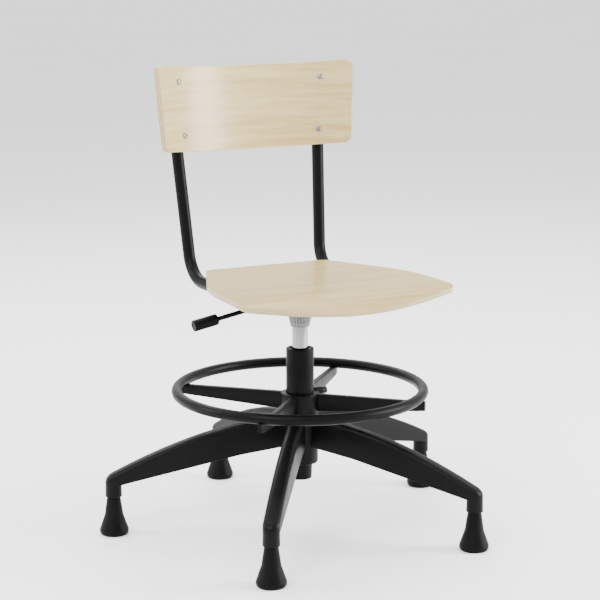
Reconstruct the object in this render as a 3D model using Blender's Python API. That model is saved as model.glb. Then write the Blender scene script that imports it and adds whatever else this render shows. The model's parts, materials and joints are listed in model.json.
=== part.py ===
"""Drafting chair: bent plywood seat and back, gas lift, sliding foot ring, five-leg base on bell glides.

Units are metres, +Z is up, and the chair faces -Y. Everything is modelled around the column's axis,
and one empty, chair_axis, carries the whole chair so that the origin is the middle of its footprint.
"""

import math

import bmesh
import bpy
from mathutils import Matrix, Vector

# ---------------------------------------------------------------- driving dimensions
FOOT_CIRCLE_RADIUS = 0.3368          # foot centres around the column
FOOT_ANGLES = [18, 90, 162, 234, 306]
FOOT_RADIUS = 0.026
FOOT_NECK_RADIUS = 0.01175
FOOT_RIM_HEIGHT = 0.0032
FOOT_HEIGHT = 0.0687
STEM_RADIUS = 0.005
STEM_BOTTOM = 0.0203
STEM_TOP = 0.1000

SOCKET_RADIUS = 0.0142               # leg end, around the stem
SOCKET_BOTTOM = 0.0690
LEG_START = 0.014                    # inside the hub
LEG_HALF_WIDTH = 0.0144
LEG_ROOT_HALF_WIDTH = 0.0138
LEG_EDGE_RADIUS = 0.008
LEG_NOSE_DROP = 0.021
HUB_RADIUS = 0.0327
HUB_BOTTOM = 0.117
HUB_TOP = 0.2055

COLUMN_RADIUS = 0.025
COLUMN_BORE = 0.023
COLUMN_TOP = 0.327
COLUMN_BOTTOM = 0.0875
COLUMN_END_RADIUS = 0.0213
COLUMN_TAPER_TOP = 0.195
CYLINDER_RADIUS = 0.014
CYLINDER_BORE = 0.012
CYLINDER_BOTTOM = 0.155
CYLINDER_TOP = 0.406
CYLINDER_FIT = 0.0004                # round the cylinder, in the pieces that hold its top
ROD_RADIUS = 0.005
ROD_NECK_RADIUS = 0.0038
ROD_TOP = 0.280
BUSH_BOTTOM = 0.257
BUSH_CLEARANCE = 0.00035
HEAD_NECK_RADIUS = 0.003
ROD_BOTTOM = 0.0845
CLIP_BOTTOM = 0.0875
CLIP_TOP = 0.0895
FLOOR_BOTTOM = 0.0903                # the column's floor, and the bearing stacked on it
FLOOR_TOP = 0.0953
LOWER_RACE_BOTTOM = 0.0956
LOWER_RACE_TOP = 0.0976
CAGE_BOTTOM = 0.0979
CAGE_TOP = 0.1018
UPPER_RACE_BOTTOM = 0.1021
UPPER_RACE_TOP = 0.1042
RACE_RADIUS = 0.013

RING_RADIUS = 0.2205                 # to the middle of the ring's tube
RING_TUBE_RADIUS = 0.0095
RING_HEIGHT = 0.2506
SPIDER_ANGLES = [45, 135, 225, 315]
SPIDER_HUB_RADIUS = 0.035
SPIDER_TOP = 0.2460
SPIDER_BOTTOM = 0.2075
ARM_THICKNESS = 0.0105
ARM_END = 0.2305
CLAMP_HEIGHT = 0.2440
CLAMP_BOSS_RADIUS = 0.0068
CLAMP_BOSS_END = 0.044
CLAMP_SCREW_RADIUS = 0.0039
CLAMP_HEAD_RADIUS = 0.0065
CLAMP_HEAD_END = 0.0530
RING_FIT = 0.00036                   # round the ring, where it lies in the spider
RING_SCREW_RADIUS = 0.002
RING_HEAD_RADIUS = 0.0038
RECESS_RADIUS = 0.0043               # under each arm's end, for the screw's head
RECESS_BOTTOM = 0.215
HEAD_TOP = 0.2325
HEAD_DEPTH = 0.0032

COLLAR_BOTTOM = 0.367
COLLAR_TOP = 0.4015
COLLAR_BOTTOM_RADIUS = 0.0175
COLLAR_TOP_RADIUS = 0.0225
FLUTES = 24

HOUSING_HALF_LENGTH = 0.052          # along X
HOUSING_HALF_WIDTH = 0.045           # along Y
HOUSING_BOTTOM = 0.402
HOUSING_TOP = 0.4375
HOUSING_WALL = 0.003

LEVER_AXIS_HEIGHT = 0.424            # where the lever's line crosses the column's axis
LEVER_DROOP = math.radians(10.3)
LEVER_PIVOT = 0.0285                 # along the lever from the column's axis
LEVER_BLOCK_END = 0.046
LEVER_BLOCK_HALF = 0.0065
PIVOT_PIN_RADIUS = 0.0030
PIN_OVERHANG = 0.003                 # past each side of the housing
VALVE_RADIUS = 0.003
VALVE_BOTTOM = 0.3990
VALVE_TOP = 0.4165
LEVER_ROD_RADIUS = 0.004
GRIP_RADIUS = 0.010
GRIP_START = 0.1662
GRIP_END = 0.2117

SEAT_TOP = 0.457
PLY = 0.010                          # seat plywood
SEAT_HALF_SPAN = 0.19
SEAT_ROLL_START = -0.152             # the front edge rolls down from here
SEAT_ROLL_RADIUS = 0.133
BACK_PLY = 0.011
BACK_CURVE_RADIUS = 0.306            # front face of the back, in plan
BACK_CENTRE = (0.2218, 0.7389)       # y and z of the middle of its front face
BACK_HEIGHT = 0.154
BACK_TOP_HALF_WIDTH = 0.1967
BACK_BOTTOM_HALF_WIDTH = 0.1876
BACK_CORNER_RADIUS = 0.013
RECLINE = math.radians(7.9)

TUBE_RADIUS = 0.011
TUBE_WALL = 0.0018
TUBE_BEND_RADIUS = 0.053
TUBE_RUN_HEIGHT = 0.4357             # middle of the run under the seat
TUBE_RUN_FRONT = -0.125
TUBE_FOOT = (0.1325, 0.1695)         # x and y where the upright's line meets the run's height
TUBE_TOP_HEIGHT = 0.806
TUBE_SPLAY = 0.052                   # x gained for each unit of height
TUBE_LEAN = 0.139                    # y gained for each unit of height

BOLT_ROWS = [(0.0484, 0.1445), (-0.0484, 0.1370)]    # height on the back, distance from its middle
BOLT_HEAD_RADIUS = 0.005
BOLT_RADIUS = 0.0025
SPACER_RADIUS = 0.0065
SEAT_SCREW_X = 0.090
SEAT_SCREW_RADIUS = 0.0023
SEAT_SCREW_TOP = 0.4535
SEAT_HEAD_RADIUS = 0.0050
SEAT_HEAD_DEPTH = 0.003
BAR_Y = 0.034
BAR_HALF_WIDTH = 0.016
BAR_HALF_LENGTH = 0.1216

GAP = 0.0003                         # between pieces that touch
BOX_CENTRE_Y = FOOT_CIRCLE_RADIUS * (1 - math.sin(math.radians(54))) / 2


# ---------------------------------------------------------------- scene and materials
def clear_scene():
    for old in list(bpy.data.objects):
        bpy.data.objects.remove(old, do_unlink=True)


def material(name, colour, roughness, metallic=0.0):
    result = bpy.data.materials.new(name)
    result.use_nodes = True
    shader = result.node_tree.nodes["Principled BSDF"]
    shader.inputs["Base Color"].default_value = (*colour, 1)
    shader.inputs["Roughness"].default_value = roughness
    shader.inputs["Metallic"].default_value = metallic
    return result


clear_scene()
BIRCH = material("birch_plywood", (0.70, 0.60, 0.42), 0.35)
NYLON = material("black_nylon", (0.018, 0.018, 0.018), 0.45)
POWDER = material("black_powder_coat", (0.012, 0.012, 0.012), 0.40)
RUBBER = material("black_plastic", (0.010, 0.010, 0.010), 0.60)
CHROME = material("chromed_steel", (0.75, 0.75, 0.76), 0.10, 1.0)
STEEL = material("zinc_plated_steel", (0.55, 0.55, 0.56), 0.30, 1.0)
BRUSHED = material("brushed_steel", (0.50, 0.50, 0.50), 0.38, 1.0)


def empty(name, parent=None, location=(0, 0, 0), rotation=(0, 0, 0)):
    result = bpy.data.objects.new(name, None)
    bpy.context.collection.objects.link(result)
    result.parent = parent
    result.location = location
    result.rotation_euler = rotation
    return result


def finish_mesh(name, bm, finish, parent=None, smooth=35):
    """Turns bm into a named object, its faces pointing out and its round faces smooth."""
    bmesh.ops.remove_doubles(bm, verts=bm.verts, dist=1e-6)
    bmesh.ops.recalc_face_normals(bm, faces=bm.faces)
    mesh = bpy.data.meshes.new(name)
    bm.to_mesh(mesh)
    bm.free()
    mesh.materials.append(finish)
    mesh.shade_smooth()
    mesh.set_sharp_from_angle(angle=math.radians(smooth))
    result = bpy.data.objects.new(name, mesh)
    bpy.context.collection.objects.link(result)
    result.parent = parent
    return result


def turned(name, profile, finish, parent=None, segments=32, closed=True, turn=Matrix()):
    """Spins (radius, height) points about Z. closed joins the last point to the first, as in a ring."""
    bm = bmesh.new()
    points = [bm.verts.new((radius, 0, height)) for radius, height in profile]
    edges = [bm.edges.new(pair) for pair in zip(points, points[1:])]
    if closed:
        edges.append(bm.edges.new((points[-1], points[0])))
    bmesh.ops.spin(bm, geom=points + edges, axis=(0, 0, 1), cent=(0, 0, 0),
                   steps=segments, angle=2 * math.pi)
    bmesh.ops.transform(bm, matrix=turn, verts=bm.verts)
    return finish_mesh(name, bm, finish, parent)


def rod(name, radius, bottom, top, finish, parent=None, segments=12, turn=Matrix()):
    """A solid round bar along Z."""
    profile = [(0, bottom), (radius, bottom), (radius, top), (0, top)]
    return turned(name, profile, finish, parent, segments, False, turn)


def sleeve(name, bore, radius, bottom, top, finish, parent=None, segments=16, turn=Matrix()):
    """A plain round ring along Z."""
    profile = [(bore, bottom), (radius, bottom), (radius, top), (bore, top)]
    return turned(name, profile, finish, parent, segments, True, turn)


def lofted(name, loops, finish, parent=None, ring=False, smooth=35):
    """Skins a row of loops. ring joins the last loop to the first; otherwise both ends are capped."""
    bm = bmesh.new()
    rows = [[bm.verts.new(point) for point in loop] for loop in loops]
    count = len(loops[0])
    pairs = list(zip(rows, rows[1:]))
    if ring:
        pairs.append((rows[-1], rows[0]))
    else:
        bm.faces.new(rows[0])
        bm.faces.new(rows[-1])
    for first, second in pairs:
        for i in range(count):
            j = (i + 1) % count
            bm.faces.new((first[i], first[j], second[j], second[i]))
    return finish_mesh(name, bm, finish, parent, smooth)


def box(name, low, high, finish, parent=None):
    bm = bmesh.new()
    bmesh.ops.create_cube(bm, size=1)
    middle = (Vector(low) + Vector(high)) / 2
    size = Vector(high) - Vector(low)
    bmesh.ops.scale(bm, vec=size, verts=bm.verts)
    bmesh.ops.translate(bm, vec=middle, verts=bm.verts)
    return finish_mesh(name, bm, finish, parent)


def cut(target, cutter, operation="DIFFERENCE"):
    """Adds a Boolean to target and hides the object it uses."""
    cutter.hide_render = True
    cutter.display_type = "WIRE"
    step = target.modifiers.new(cutter.name, "BOOLEAN")
    step.operation = operation
    step.object = cutter
    step.solver = "EXACT"


def join_to(target, extra):
    cut(target, extra, "UNION")


def circle(radius, height, tube_radius, points):
    """A round profile whose middle is at (radius, height)."""
    return [(radius + tube_radius * math.cos(2 * math.pi * i / points),
             height + tube_radius * math.sin(2 * math.pi * i / points)) for i in range(points)]


def around(angle_degrees):
    return Matrix.Rotation(math.radians(angle_degrees), 4, "Z")


def bezier(start, middle, end, t):
    """A point on the quadratic curve from start to end that bends towards middle."""
    return tuple((1 - t) ** 2 * a + 2 * t * (1 - t) * b + t * t * c for a, b, c in zip(start, middle, end))


# ---------------------------------------------------------------- base
LEG_TOP_CURVE = ((0.030, 0.203), (0.170, 0.196), (0.340, 0.1105))
LEG_BOTTOM_LINE = ((0.032, 0.1490), (0.110, 0.1375), (0.322, 0.0925))
LEG_TIP = 0.335                      # the underside is level from here outwards
HUB_EDGE = 0.003
HUB_BORE_BOTTOM = 0.1
STEM_HOLE_TURN = 9                   # degrees, so that its edges miss the socket's


def leg_top(reach):
    """Height of the leg's back at a distance from the column; the curve's t is found by halving."""
    low, high = 0.0, 1.0
    for _ in range(30):
        t = (low + high) / 2
        if bezier(*LEG_TOP_CURVE, t)[0] < reach:
            low = t
        else:
            high = t
    return bezier(*LEG_TOP_CURVE, low)[1]


def leg_bottom(reach):
    """Height of the leg's underside, two straight stretches that meet below its middle."""
    root, knee, tip = LEG_BOTTOM_LINE
    (r0, z0), (r1, z1) = (root, knee) if reach < knee[0] else (knee, tip)
    return z0 + (z1 - z0) * (reach - r0) / (r1 - r0)


def leg_section(reach, half_width, bottom, top):
    """A cross-section with square lower edges and rounded upper ones."""
    radius = min(LEG_EDGE_RADIUS, half_width * 0.8)
    points = [(reach, -half_width, bottom), (reach, half_width, bottom)]
    for side in (1, -1):
        for step in range(3):
            turn = math.radians(45 * step)
            if side < 0:
                turn = math.pi / 2 - turn
            points.append((reach, side * (half_width - radius + radius * math.cos(turn)),
                           top - radius + radius * math.sin(turn)))
    return points


def leg(number, angle):
    """One leg along +X, turned to its place: a long taper, then a rounded nose over the foot."""
    spans = 7
    nose_slope = 0.001
    loops = []
    for step in range(spans + 1):
        share = step / spans
        reach = LEG_START + (FOOT_CIRCLE_RADIUS - LEG_START) * share
        width = LEG_ROOT_HALF_WIDTH + (LEG_HALF_WIDTH - LEG_ROOT_HALF_WIDTH) * share
        loops.append(leg_section(reach, width, max(leg_bottom(reach), leg_bottom(LEG_TIP)), leg_top(reach)))
    for turn_degrees in (15, 30, 45, 60, 75, 84):
        turn = math.radians(turn_degrees)
        reach = FOOT_CIRCLE_RADIUS + LEG_HALF_WIDTH * math.sin(turn)
        nose = leg_top(FOOT_CIRCLE_RADIUS) - LEG_NOSE_DROP * (1 - math.cos(turn)) - nose_slope * turn
        loops.append(leg_section(reach, LEG_HALF_WIDTH * math.cos(turn), leg_bottom(LEG_TIP), nose))
    result = lofted(f"leg_{number}_solid", loops, NYLON)
    result.data.transform(around(angle))
    return result


def column_radius(height):
    """Outer radius of the column, which tapers into the base."""
    share = (height - COLUMN_BOTTOM) / (COLUMN_TAPER_TOP - COLUMN_BOTTOM)
    return COLUMN_END_RADIUS + (COLUMN_RADIUS - COLUMN_END_RADIUS) * min(share, 1)


def base_star(parent):
    """The hub, with five legs and their sockets joined to it, bored for the column and the stems."""
    overlap = 0.006
    clearance = 0.01
    hub = turned("base_star", [(0, HUB_BOTTOM), (HUB_RADIUS - HUB_EDGE, HUB_BOTTOM),
                               (HUB_RADIUS, HUB_BOTTOM + HUB_EDGE), (HUB_RADIUS, HUB_TOP - HUB_EDGE),
                               (HUB_RADIUS - HUB_EDGE, HUB_TOP), (0, HUB_TOP)],
                 NYLON, parent, 30, closed=False)
    for number, angle in enumerate(FOOT_ANGLES, 1):
        place = around(angle) @ Matrix.Translation((FOOT_CIRCLE_RADIUS, 0, 0))
        solid = leg(number, angle)
        solid.parent = parent
        join_to(hub, solid)
        socket = rod(f"socket_{number}_solid", SOCKET_RADIUS, SOCKET_BOTTOM, leg_bottom(LEG_TIP) + overlap,
                     NYLON, parent, 20, place)
        join_to(hub, socket)
        hole = rod(f"stem_{number}_hole", STEM_RADIUS + GAP, SOCKET_BOTTOM - 0.002, STEM_TOP + GAP,
                   NYLON, parent, 12, place @ around(STEM_HOLE_TURN))
        cut(hub, hole)
    bore = turned("base_bore", [(0, HUB_BORE_BOTTOM), (column_radius(HUB_BORE_BOTTOM) + GAP, HUB_BORE_BOTTOM),
                                (COLUMN_RADIUS + GAP, COLUMN_TAPER_TOP),
                                (COLUMN_RADIUS + GAP, HUB_TOP + clearance), (0, HUB_TOP + clearance)],
                  NYLON, parent, 32, closed=False)
    cut(hub, bore)
    return hub


def foot(number, angle, parent):
    """A bell glide whose side curves out from a narrow neck, with a blind hole for its stem."""
    rim = 0.0022
    flare = 0.066 - FOOT_RIM_HEIGHT
    flare_power = 1.75
    flare_steps = 4
    profile = [(0, 0), (FOOT_RADIUS - rim, 0), (FOOT_RADIUS, FOOT_RIM_HEIGHT)]
    for step in range(1, flare_steps + 1):
        share = step / flare_steps
        radius = FOOT_NECK_RADIUS + (FOOT_RADIUS - FOOT_NECK_RADIUS) * (1 - share) ** flare_power
        profile.append((radius, FOOT_RIM_HEIGHT + flare * share))
    profile += [(FOOT_NECK_RADIUS, FOOT_HEIGHT), (STEM_RADIUS + GAP, FOOT_HEIGHT),
                (STEM_RADIUS + GAP, STEM_BOTTOM - GAP), (0, STEM_BOTTOM - GAP)]
    place = around(angle) @ Matrix.Translation((FOOT_CIRCLE_RADIUS, 0, 0))
    turned(f"foot_{number}", profile, RUBBER, parent, 18, closed=False, turn=place)
    rod(f"foot_stem_{number}", STEM_RADIUS, STEM_BOTTOM, STEM_TOP, STEEL, parent, 8, place)


# ---------------------------------------------------------------- column and gas lift
def column(parent):
    """The black outer tube, the guide bush in its mouth and the floor that carries the lift."""
    lip = 0.0015
    edge = 0.001
    mouth = 0.015
    seat_bore = 0.019
    ledge = 0.090
    taper_bottom = 0.112
    taper_top = 0.130
    turned("column_tube", [(mouth, COLUMN_BOTTOM), (COLUMN_END_RADIUS - edge, COLUMN_BOTTOM),
                           (COLUMN_END_RADIUS, COLUMN_BOTTOM + edge),
                           (COLUMN_RADIUS, COLUMN_TAPER_TOP), (COLUMN_RADIUS, COLUMN_TOP - lip),
                           (COLUMN_RADIUS - lip, COLUMN_TOP), (COLUMN_BORE, COLUMN_TOP),
                           (COLUMN_BORE, taper_top), (seat_bore, taper_bottom), (seat_bore, ledge),
                           (mouth, ledge)],
           POWDER, parent, 28)
    sleeve("guide_bush", CYLINDER_RADIUS + BUSH_CLEARANCE, COLUMN_BORE - GAP, BUSH_BOTTOM,
           COLUMN_TOP - edge, RUBBER, parent, 32)
    sleeve("column_floor", ROD_NECK_RADIUS + GAP, seat_bore - GAP, FLOOR_BOTTOM, FLOOR_TOP, STEEL, parent)
    sleeve("bearing_race_lower", ROD_NECK_RADIUS + GAP, RACE_RADIUS, LOWER_RACE_BOTTOM, LOWER_RACE_TOP,
           STEEL, parent)


def piston(parent):
    """The rod stands on the thrust bearing, and the cylinder slides along it."""
    shoulder = 0.1045
    cage_radius = 0.0125
    clip_radius = 0.0085
    head_neck_bottom = ROD_TOP - 0.020
    head_bottom = ROD_TOP - 0.0195
    head_top = ROD_TOP - 0.004
    head_clearance = 0.0004
    turned("piston_rod", [(0, ROD_BOTTOM), (ROD_NECK_RADIUS, ROD_BOTTOM), (ROD_NECK_RADIUS, shoulder),
                          (ROD_RADIUS, shoulder), (ROD_RADIUS, head_neck_bottom),
                          (HEAD_NECK_RADIUS, head_neck_bottom), (HEAD_NECK_RADIUS, ROD_TOP),
                          (0, ROD_TOP)], STEEL, parent, 20, closed=False)
    sleeve("bearing_cage", ROD_NECK_RADIUS + GAP, cage_radius, CAGE_BOTTOM, CAGE_TOP, RUBBER, parent)
    sleeve("bearing_race_upper", ROD_NECK_RADIUS + GAP, RACE_RADIUS, UPPER_RACE_BOTTOM, UPPER_RACE_TOP,
           STEEL, parent)
    sleeve("retaining_clip", ROD_NECK_RADIUS + GAP, clip_radius, CLIP_BOTTOM, CLIP_TOP, STEEL, parent, 16)
    sleeve("piston_head", HEAD_NECK_RADIUS + GAP, CYLINDER_BORE - head_clearance, head_bottom, head_top,
           RUBBER, parent)


def gas_cylinder(parent):
    """The chromed cylinder, with the valve's hole through its top, and the gland in its lower end."""
    top_plate = 0.009
    pin_hole = 0.0034
    edge = 0.001
    gland_bottom = CYLINDER_BOTTOM + 0.001
    gland_top = CYLINDER_BOTTOM + 0.015
    turned("gas_cylinder", [(CYLINDER_BORE, CYLINDER_BOTTOM), (CYLINDER_RADIUS, CYLINDER_BOTTOM),
                            (CYLINDER_RADIUS, CYLINDER_TOP - edge), (CYLINDER_RADIUS - edge, CYLINDER_TOP),
                            (pin_hole, CYLINDER_TOP), (pin_hole, CYLINDER_TOP - top_plate),
                            (CYLINDER_BORE, CYLINDER_TOP - top_plate)], CHROME, parent)
    sleeve("cylinder_gland", ROD_RADIUS + GAP, CYLINDER_BORE - GAP, gland_bottom, gland_top, RUBBER, parent)


def fluted_collar(parent):
    """A conical boss under the mechanism with flutes all round."""
    count = FLUTES * 2
    lower_rim = 0.001
    upper_rim = 0.004
    chamfer = 0.0008
    lower_flute = 0.0007
    upper_flute = 0.0009

    def outer(height, radius, depth):
        return [(math.cos(2 * math.pi * i / count) * (radius - depth * (i % 2)),
                 math.sin(2 * math.pi * i / count) * (radius - depth * (i % 2)), height)
                for i in range(count)]

    bore = CYLINDER_RADIUS + CYLINDER_FIT
    loops = [outer(COLLAR_BOTTOM, bore, 0), outer(COLLAR_BOTTOM, COLLAR_BOTTOM_RADIUS - chamfer, 0),
             outer(COLLAR_BOTTOM + lower_rim, COLLAR_BOTTOM_RADIUS, lower_flute),
             outer(COLLAR_TOP - upper_rim, COLLAR_TOP_RADIUS, upper_flute),
             outer(COLLAR_TOP, COLLAR_TOP_RADIUS, 0),
             outer(COLLAR_TOP, bore, 0)]
    lofted("fluted_collar", loops, BRUSHED, parent, ring=True, smooth=12)


# ---------------------------------------------------------------- foot ring
def foot_ring(parent):
    """The ring, the spider that carries it, and the screws that hold it and clamp it to the column."""
    ring_sides = 10
    ring_steps = 48
    edge = 0.002
    ring = turned("foot_ring", circle(RING_RADIUS, RING_HEIGHT, RING_TUBE_RADIUS, ring_sides), POWDER,
                  parent, ring_steps)
    hub = turned("ring_spider", [(0, SPIDER_BOTTOM), (SPIDER_HUB_RADIUS - edge, SPIDER_BOTTOM),
                                 (SPIDER_HUB_RADIUS, SPIDER_BOTTOM + edge),
                                 (SPIDER_HUB_RADIUS, SPIDER_TOP - edge),
                                 (SPIDER_HUB_RADIUS - edge, SPIDER_TOP), (0, SPIDER_TOP)],
                 NYLON, parent, 32, closed=False)
    for number, angle in enumerate(SPIDER_ANGLES, 1):
        arm = arm_blade(number, angle)
        arm.parent = parent
        join_to(hub, arm)
        place = around(angle) @ Matrix.Translation((RING_RADIUS, 0, 0))
        hole = turned(f"ring_screw_{number}_hole",
                      [(0, RECESS_BOTTOM), (RECESS_RADIUS, RECESS_BOTTOM), (RECESS_RADIUS, HEAD_TOP),
                       (RING_SCREW_RADIUS + GAP, HEAD_TOP), (RING_SCREW_RADIUS + GAP, RING_HEIGHT + GAP),
                       (0, RING_HEIGHT + GAP)],
                      NYLON, parent, 12, closed=False, turn=place)
        cut(hub, hole)
        cut(ring, hole)
        turned(f"ring_screw_{number}",
               [(0, HEAD_TOP - HEAD_DEPTH), (RING_HEAD_RADIUS, HEAD_TOP - HEAD_DEPTH),
                (RING_HEAD_RADIUS, HEAD_TOP - GAP), (RING_SCREW_RADIUS, HEAD_TOP - GAP),
                (RING_SCREW_RADIUS, RING_HEIGHT), (0, RING_HEIGHT)],
               STEEL, parent, 12, closed=False, turn=place)
    groove = circle(RING_RADIUS, RING_HEIGHT, RING_TUBE_RADIUS + RING_FIT, ring_sides)
    cut(hub, turned("ring_seat", groove, NYLON, parent, ring_steps))
    along_x = Matrix.Translation((0, 0, CLAMP_HEIGHT)) @ Matrix.Rotation(math.pi / 2, 4, "Y")
    clearance = 0.010
    boss_start = 0.030
    join_to(hub, rod("clamp_boss", CLAMP_BOSS_RADIUS, boss_start, CLAMP_BOSS_END, NYLON, parent, 16, along_x))
    cut(hub, rod("spider_bore", COLUMN_RADIUS + GAP, SPIDER_BOTTOM - clearance, SPIDER_TOP + clearance,
                 NYLON, parent, 32))
    cut(hub, rod("clamp_hole", CLAMP_SCREW_RADIUS + GAP, COLUMN_RADIUS - clearance,
                 CLAMP_BOSS_END + clearance, NYLON, parent, 12, along_x))
    tip = COLUMN_RADIUS + 0.0007
    head = CLAMP_BOSS_END + GAP
    socket_bottom = 0.0490
    socket_radius = 0.0025
    turned("clamp_screw", [(0, tip), (CLAMP_SCREW_RADIUS, tip), (CLAMP_SCREW_RADIUS, head),
                           (CLAMP_HEAD_RADIUS, head), (CLAMP_HEAD_RADIUS, CLAMP_HEAD_END),
                           (socket_radius, CLAMP_HEAD_END), (socket_radius, socket_bottom),
                           (0, socket_bottom)],
           STEEL, parent, 12, closed=False, turn=along_x)


def arm_blade(number, angle):
    """An upright blade that tapers outwards and carries the ring on its end."""
    root = 0.027
    root_bottom = 0.2130
    end_bottom = 0.2300
    end_top = 0.2445
    corner = 0.002
    side = [(root, root_bottom), (ARM_END - corner, end_bottom - corner), (ARM_END, end_bottom),
            (ARM_END, end_top), (root, SPIDER_TOP - 0.001)]
    half = ARM_THICKNESS / 2
    chamfer = 0.0015
    loops = []
    middle = Vector((0.13, 0.2330))
    for offset, inset in ((-half, chamfer), (-half + chamfer, 0), (half - chamfer, 0), (half, chamfer)):
        loop = []
        for reach, height in side:
            inward = middle - Vector((reach, height))
            step_in = Vector((math.copysign(inset, inward.x), math.copysign(inset, inward.y)))
            loop.append((reach + step_in.x, offset, height + step_in.y))
        loops.append(loop)
    result = lofted(f"arm_{number}_solid", loops, NYLON)
    result.data.transform(around(angle))
    return result


# ---------------------------------------------------------------- seat mechanism and lever
def mechanism(parent):
    """An open tray over the cylinder's top, the lever's pin across it, and two bars up to the seat."""
    clearance = 0.01
    hole_top = 0.42
    slot_half = 0.007
    slot_bottom = 0.4055
    slot_top = 0.4250
    housing = box("mechanism_housing", (-HOUSING_HALF_LENGTH, -HOUSING_HALF_WIDTH, HOUSING_BOTTOM),
                  (HOUSING_HALF_LENGTH, HOUSING_HALF_WIDTH, HOUSING_TOP), POWDER, parent)
    inner_length = HOUSING_HALF_LENGTH - HOUSING_WALL
    inner_width = HOUSING_HALF_WIDTH - HOUSING_WALL
    cut(housing, box("housing_room", (-inner_length, -inner_width, HOUSING_BOTTOM + HOUSING_WALL),
                     (inner_length, inner_width, HOUSING_TOP + clearance), POWDER, parent))
    cut(housing, rod("cylinder_hole", CYLINDER_RADIUS + CYLINDER_FIT, HOUSING_BOTTOM - clearance, hole_top,
                     POWDER, parent, 32))
    cut(housing, box("lever_slot", (-HOUSING_HALF_LENGTH - clearance, -slot_half, slot_bottom),
                     (-inner_length + 0.001, slot_half, slot_top), POWDER, parent))
    across = Matrix.Translation(lever_pivot()) @ Matrix.Rotation(math.pi / 2, 4, "X")
    reach = HOUSING_HALF_WIDTH + PIN_OVERHANG
    head = HOUSING_TOP - SEAT_HEAD_DEPTH
    head_taper = 0.0005
    cut(housing, rod("pin_hole", PIVOT_PIN_RADIUS + GAP, -reach, reach, POWDER, parent, 12, across))
    rod("lever_pivot_pin", PIVOT_PIN_RADIUS, -reach, reach, STEEL, parent, 12, across)
    for name, y in (("cross_bar_rear", BAR_Y), ("cross_bar_front", -BAR_Y)):
        bar = box(name, (-BAR_HALF_LENGTH, y - BAR_HALF_WIDTH, HOUSING_TOP + GAP),
                  (BAR_HALF_LENGTH, y + BAR_HALF_WIDTH, SEAT_TOP - PLY - GAP), POWDER, parent)
        for number, x in enumerate((-SEAT_SCREW_X, SEAT_SCREW_X), 1):
            place = Matrix.Translation((x, y, 0))
            cut(bar, rod(f"{name}_hole_{number}", SEAT_SCREW_RADIUS + GAP, HOUSING_TOP - clearance,
                         SEAT_TOP, POWDER, parent, 12, place))
            turned(f"seat_screw_{name.removeprefix('cross_bar_')}_{number}",
                   [(0, head), (SEAT_HEAD_RADIUS - head_taper, head), (SEAT_HEAD_RADIUS, HOUSING_TOP),
                    (SEAT_SCREW_RADIUS, HOUSING_TOP), (SEAT_SCREW_RADIUS, SEAT_SCREW_TOP),
                    (0, SEAT_SCREW_TOP)],
                   STEEL, parent, 12, closed=False, turn=place)


def lever_pivot():
    """Where the lever's pin crosses the lever's own line."""
    return Vector((-LEVER_PIVOT * math.cos(LEVER_DROOP), 0,
                   LEVER_AXIS_HEIGHT - LEVER_PIVOT * math.sin(LEVER_DROOP)))


def lever(parent):
    """Everything here lies along the parent's own +X, which is the lever's length from its pivot."""
    half = LEVER_BLOCK_HALF
    past_axis = 0.008
    in_block = 0.010
    in_grip = 0.008
    lead = 0.0012
    edge = 0.001
    clearance = 0.01
    start = -past_axis - LEVER_PIVOT
    end = LEVER_BLOCK_END - LEVER_PIVOT
    block = box("lever_block", (start, -half, -half), (end, half, half), POWDER, parent)
    along_y = Matrix.Rotation(math.pi / 2, 4, "X")
    along_x = Matrix.Rotation(math.pi / 2, 4, "Y")
    cut(block, rod("lever_pivot_hole", PIVOT_PIN_RADIUS + GAP, -clearance, clearance, POWDER, parent, 12,
                   along_y))
    rod_start = end - in_block
    cut(block, rod("lever_rod_hole", LEVER_ROD_RADIUS + GAP, rod_start - GAP, end + clearance, POWDER,
                   parent, 16, along_x))
    grip_start = GRIP_START - LEVER_PIVOT
    grip_end = GRIP_END - LEVER_PIVOT
    grip_hole = grip_end - in_grip
    rod("lever_rod", LEVER_ROD_RADIUS, rod_start, grip_hole, POWDER, parent, 16, along_x)
    turned("lever_grip", [(0, grip_hole + GAP), (LEVER_ROD_RADIUS + GAP, grip_hole + GAP),
                          (LEVER_ROD_RADIUS + GAP, grip_start), (GRIP_RADIUS - lead, grip_start),
                          (GRIP_RADIUS, grip_start + lead), (GRIP_RADIUS, grip_end - edge),
                          (GRIP_RADIUS - edge, grip_end), (0, grip_end)],
           RUBBER, parent, 20, closed=False, turn=along_x)


# ---------------------------------------------------------------- seat
def rounded_outline(corners, step_degrees=9.0):
    """Points round a polygon whose corners (x, y, radius) are replaced by arcs."""
    points = []
    count = len(corners)
    for i in range(count):
        before = Vector(corners[i - 1][:2])
        here = Vector(corners[i][:2])
        after = Vector(corners[(i + 1) % count][:2])
        radius = corners[i][2]
        arrive = (here - before).normalized()
        leave = (after - here).normalized()
        turn = arrive.angle_signed(leave)
        inset = radius * math.tan(abs(turn) / 2)
        side = math.copysign(1, turn)
        centre = here - arrive * inset + side * radius * Vector((arrive.y, -arrive.x))
        spoke = here - arrive * inset - centre
        pieces = max(2, round(abs(math.degrees(turn)) / step_degrees))
        for k in range(pieces + 1):
            points.append(centre + Matrix.Rotation(-turn * k / pieces, 2) @ spoke)
    return points


def seat_outline():
    half = [(0.1220, 0.132, 0.026), (0.1995, -0.0376, 0.300), (0.2054, -0.1903, 0.0195)]
    front = [(0.0, -0.2641, 0.538)]
    return rounded_outline(half + front + [(-x, y, radius) for x, y, radius in reversed(half)])


def seat_drop(y):
    """How far the seat's top has rolled down, and its slope there."""
    forward = max(0.0, SEAT_ROLL_START - y)
    return forward ** 2 / (2 * SEAT_ROLL_RADIUS), math.atan(forward / SEAT_ROLL_RADIUS)


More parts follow.
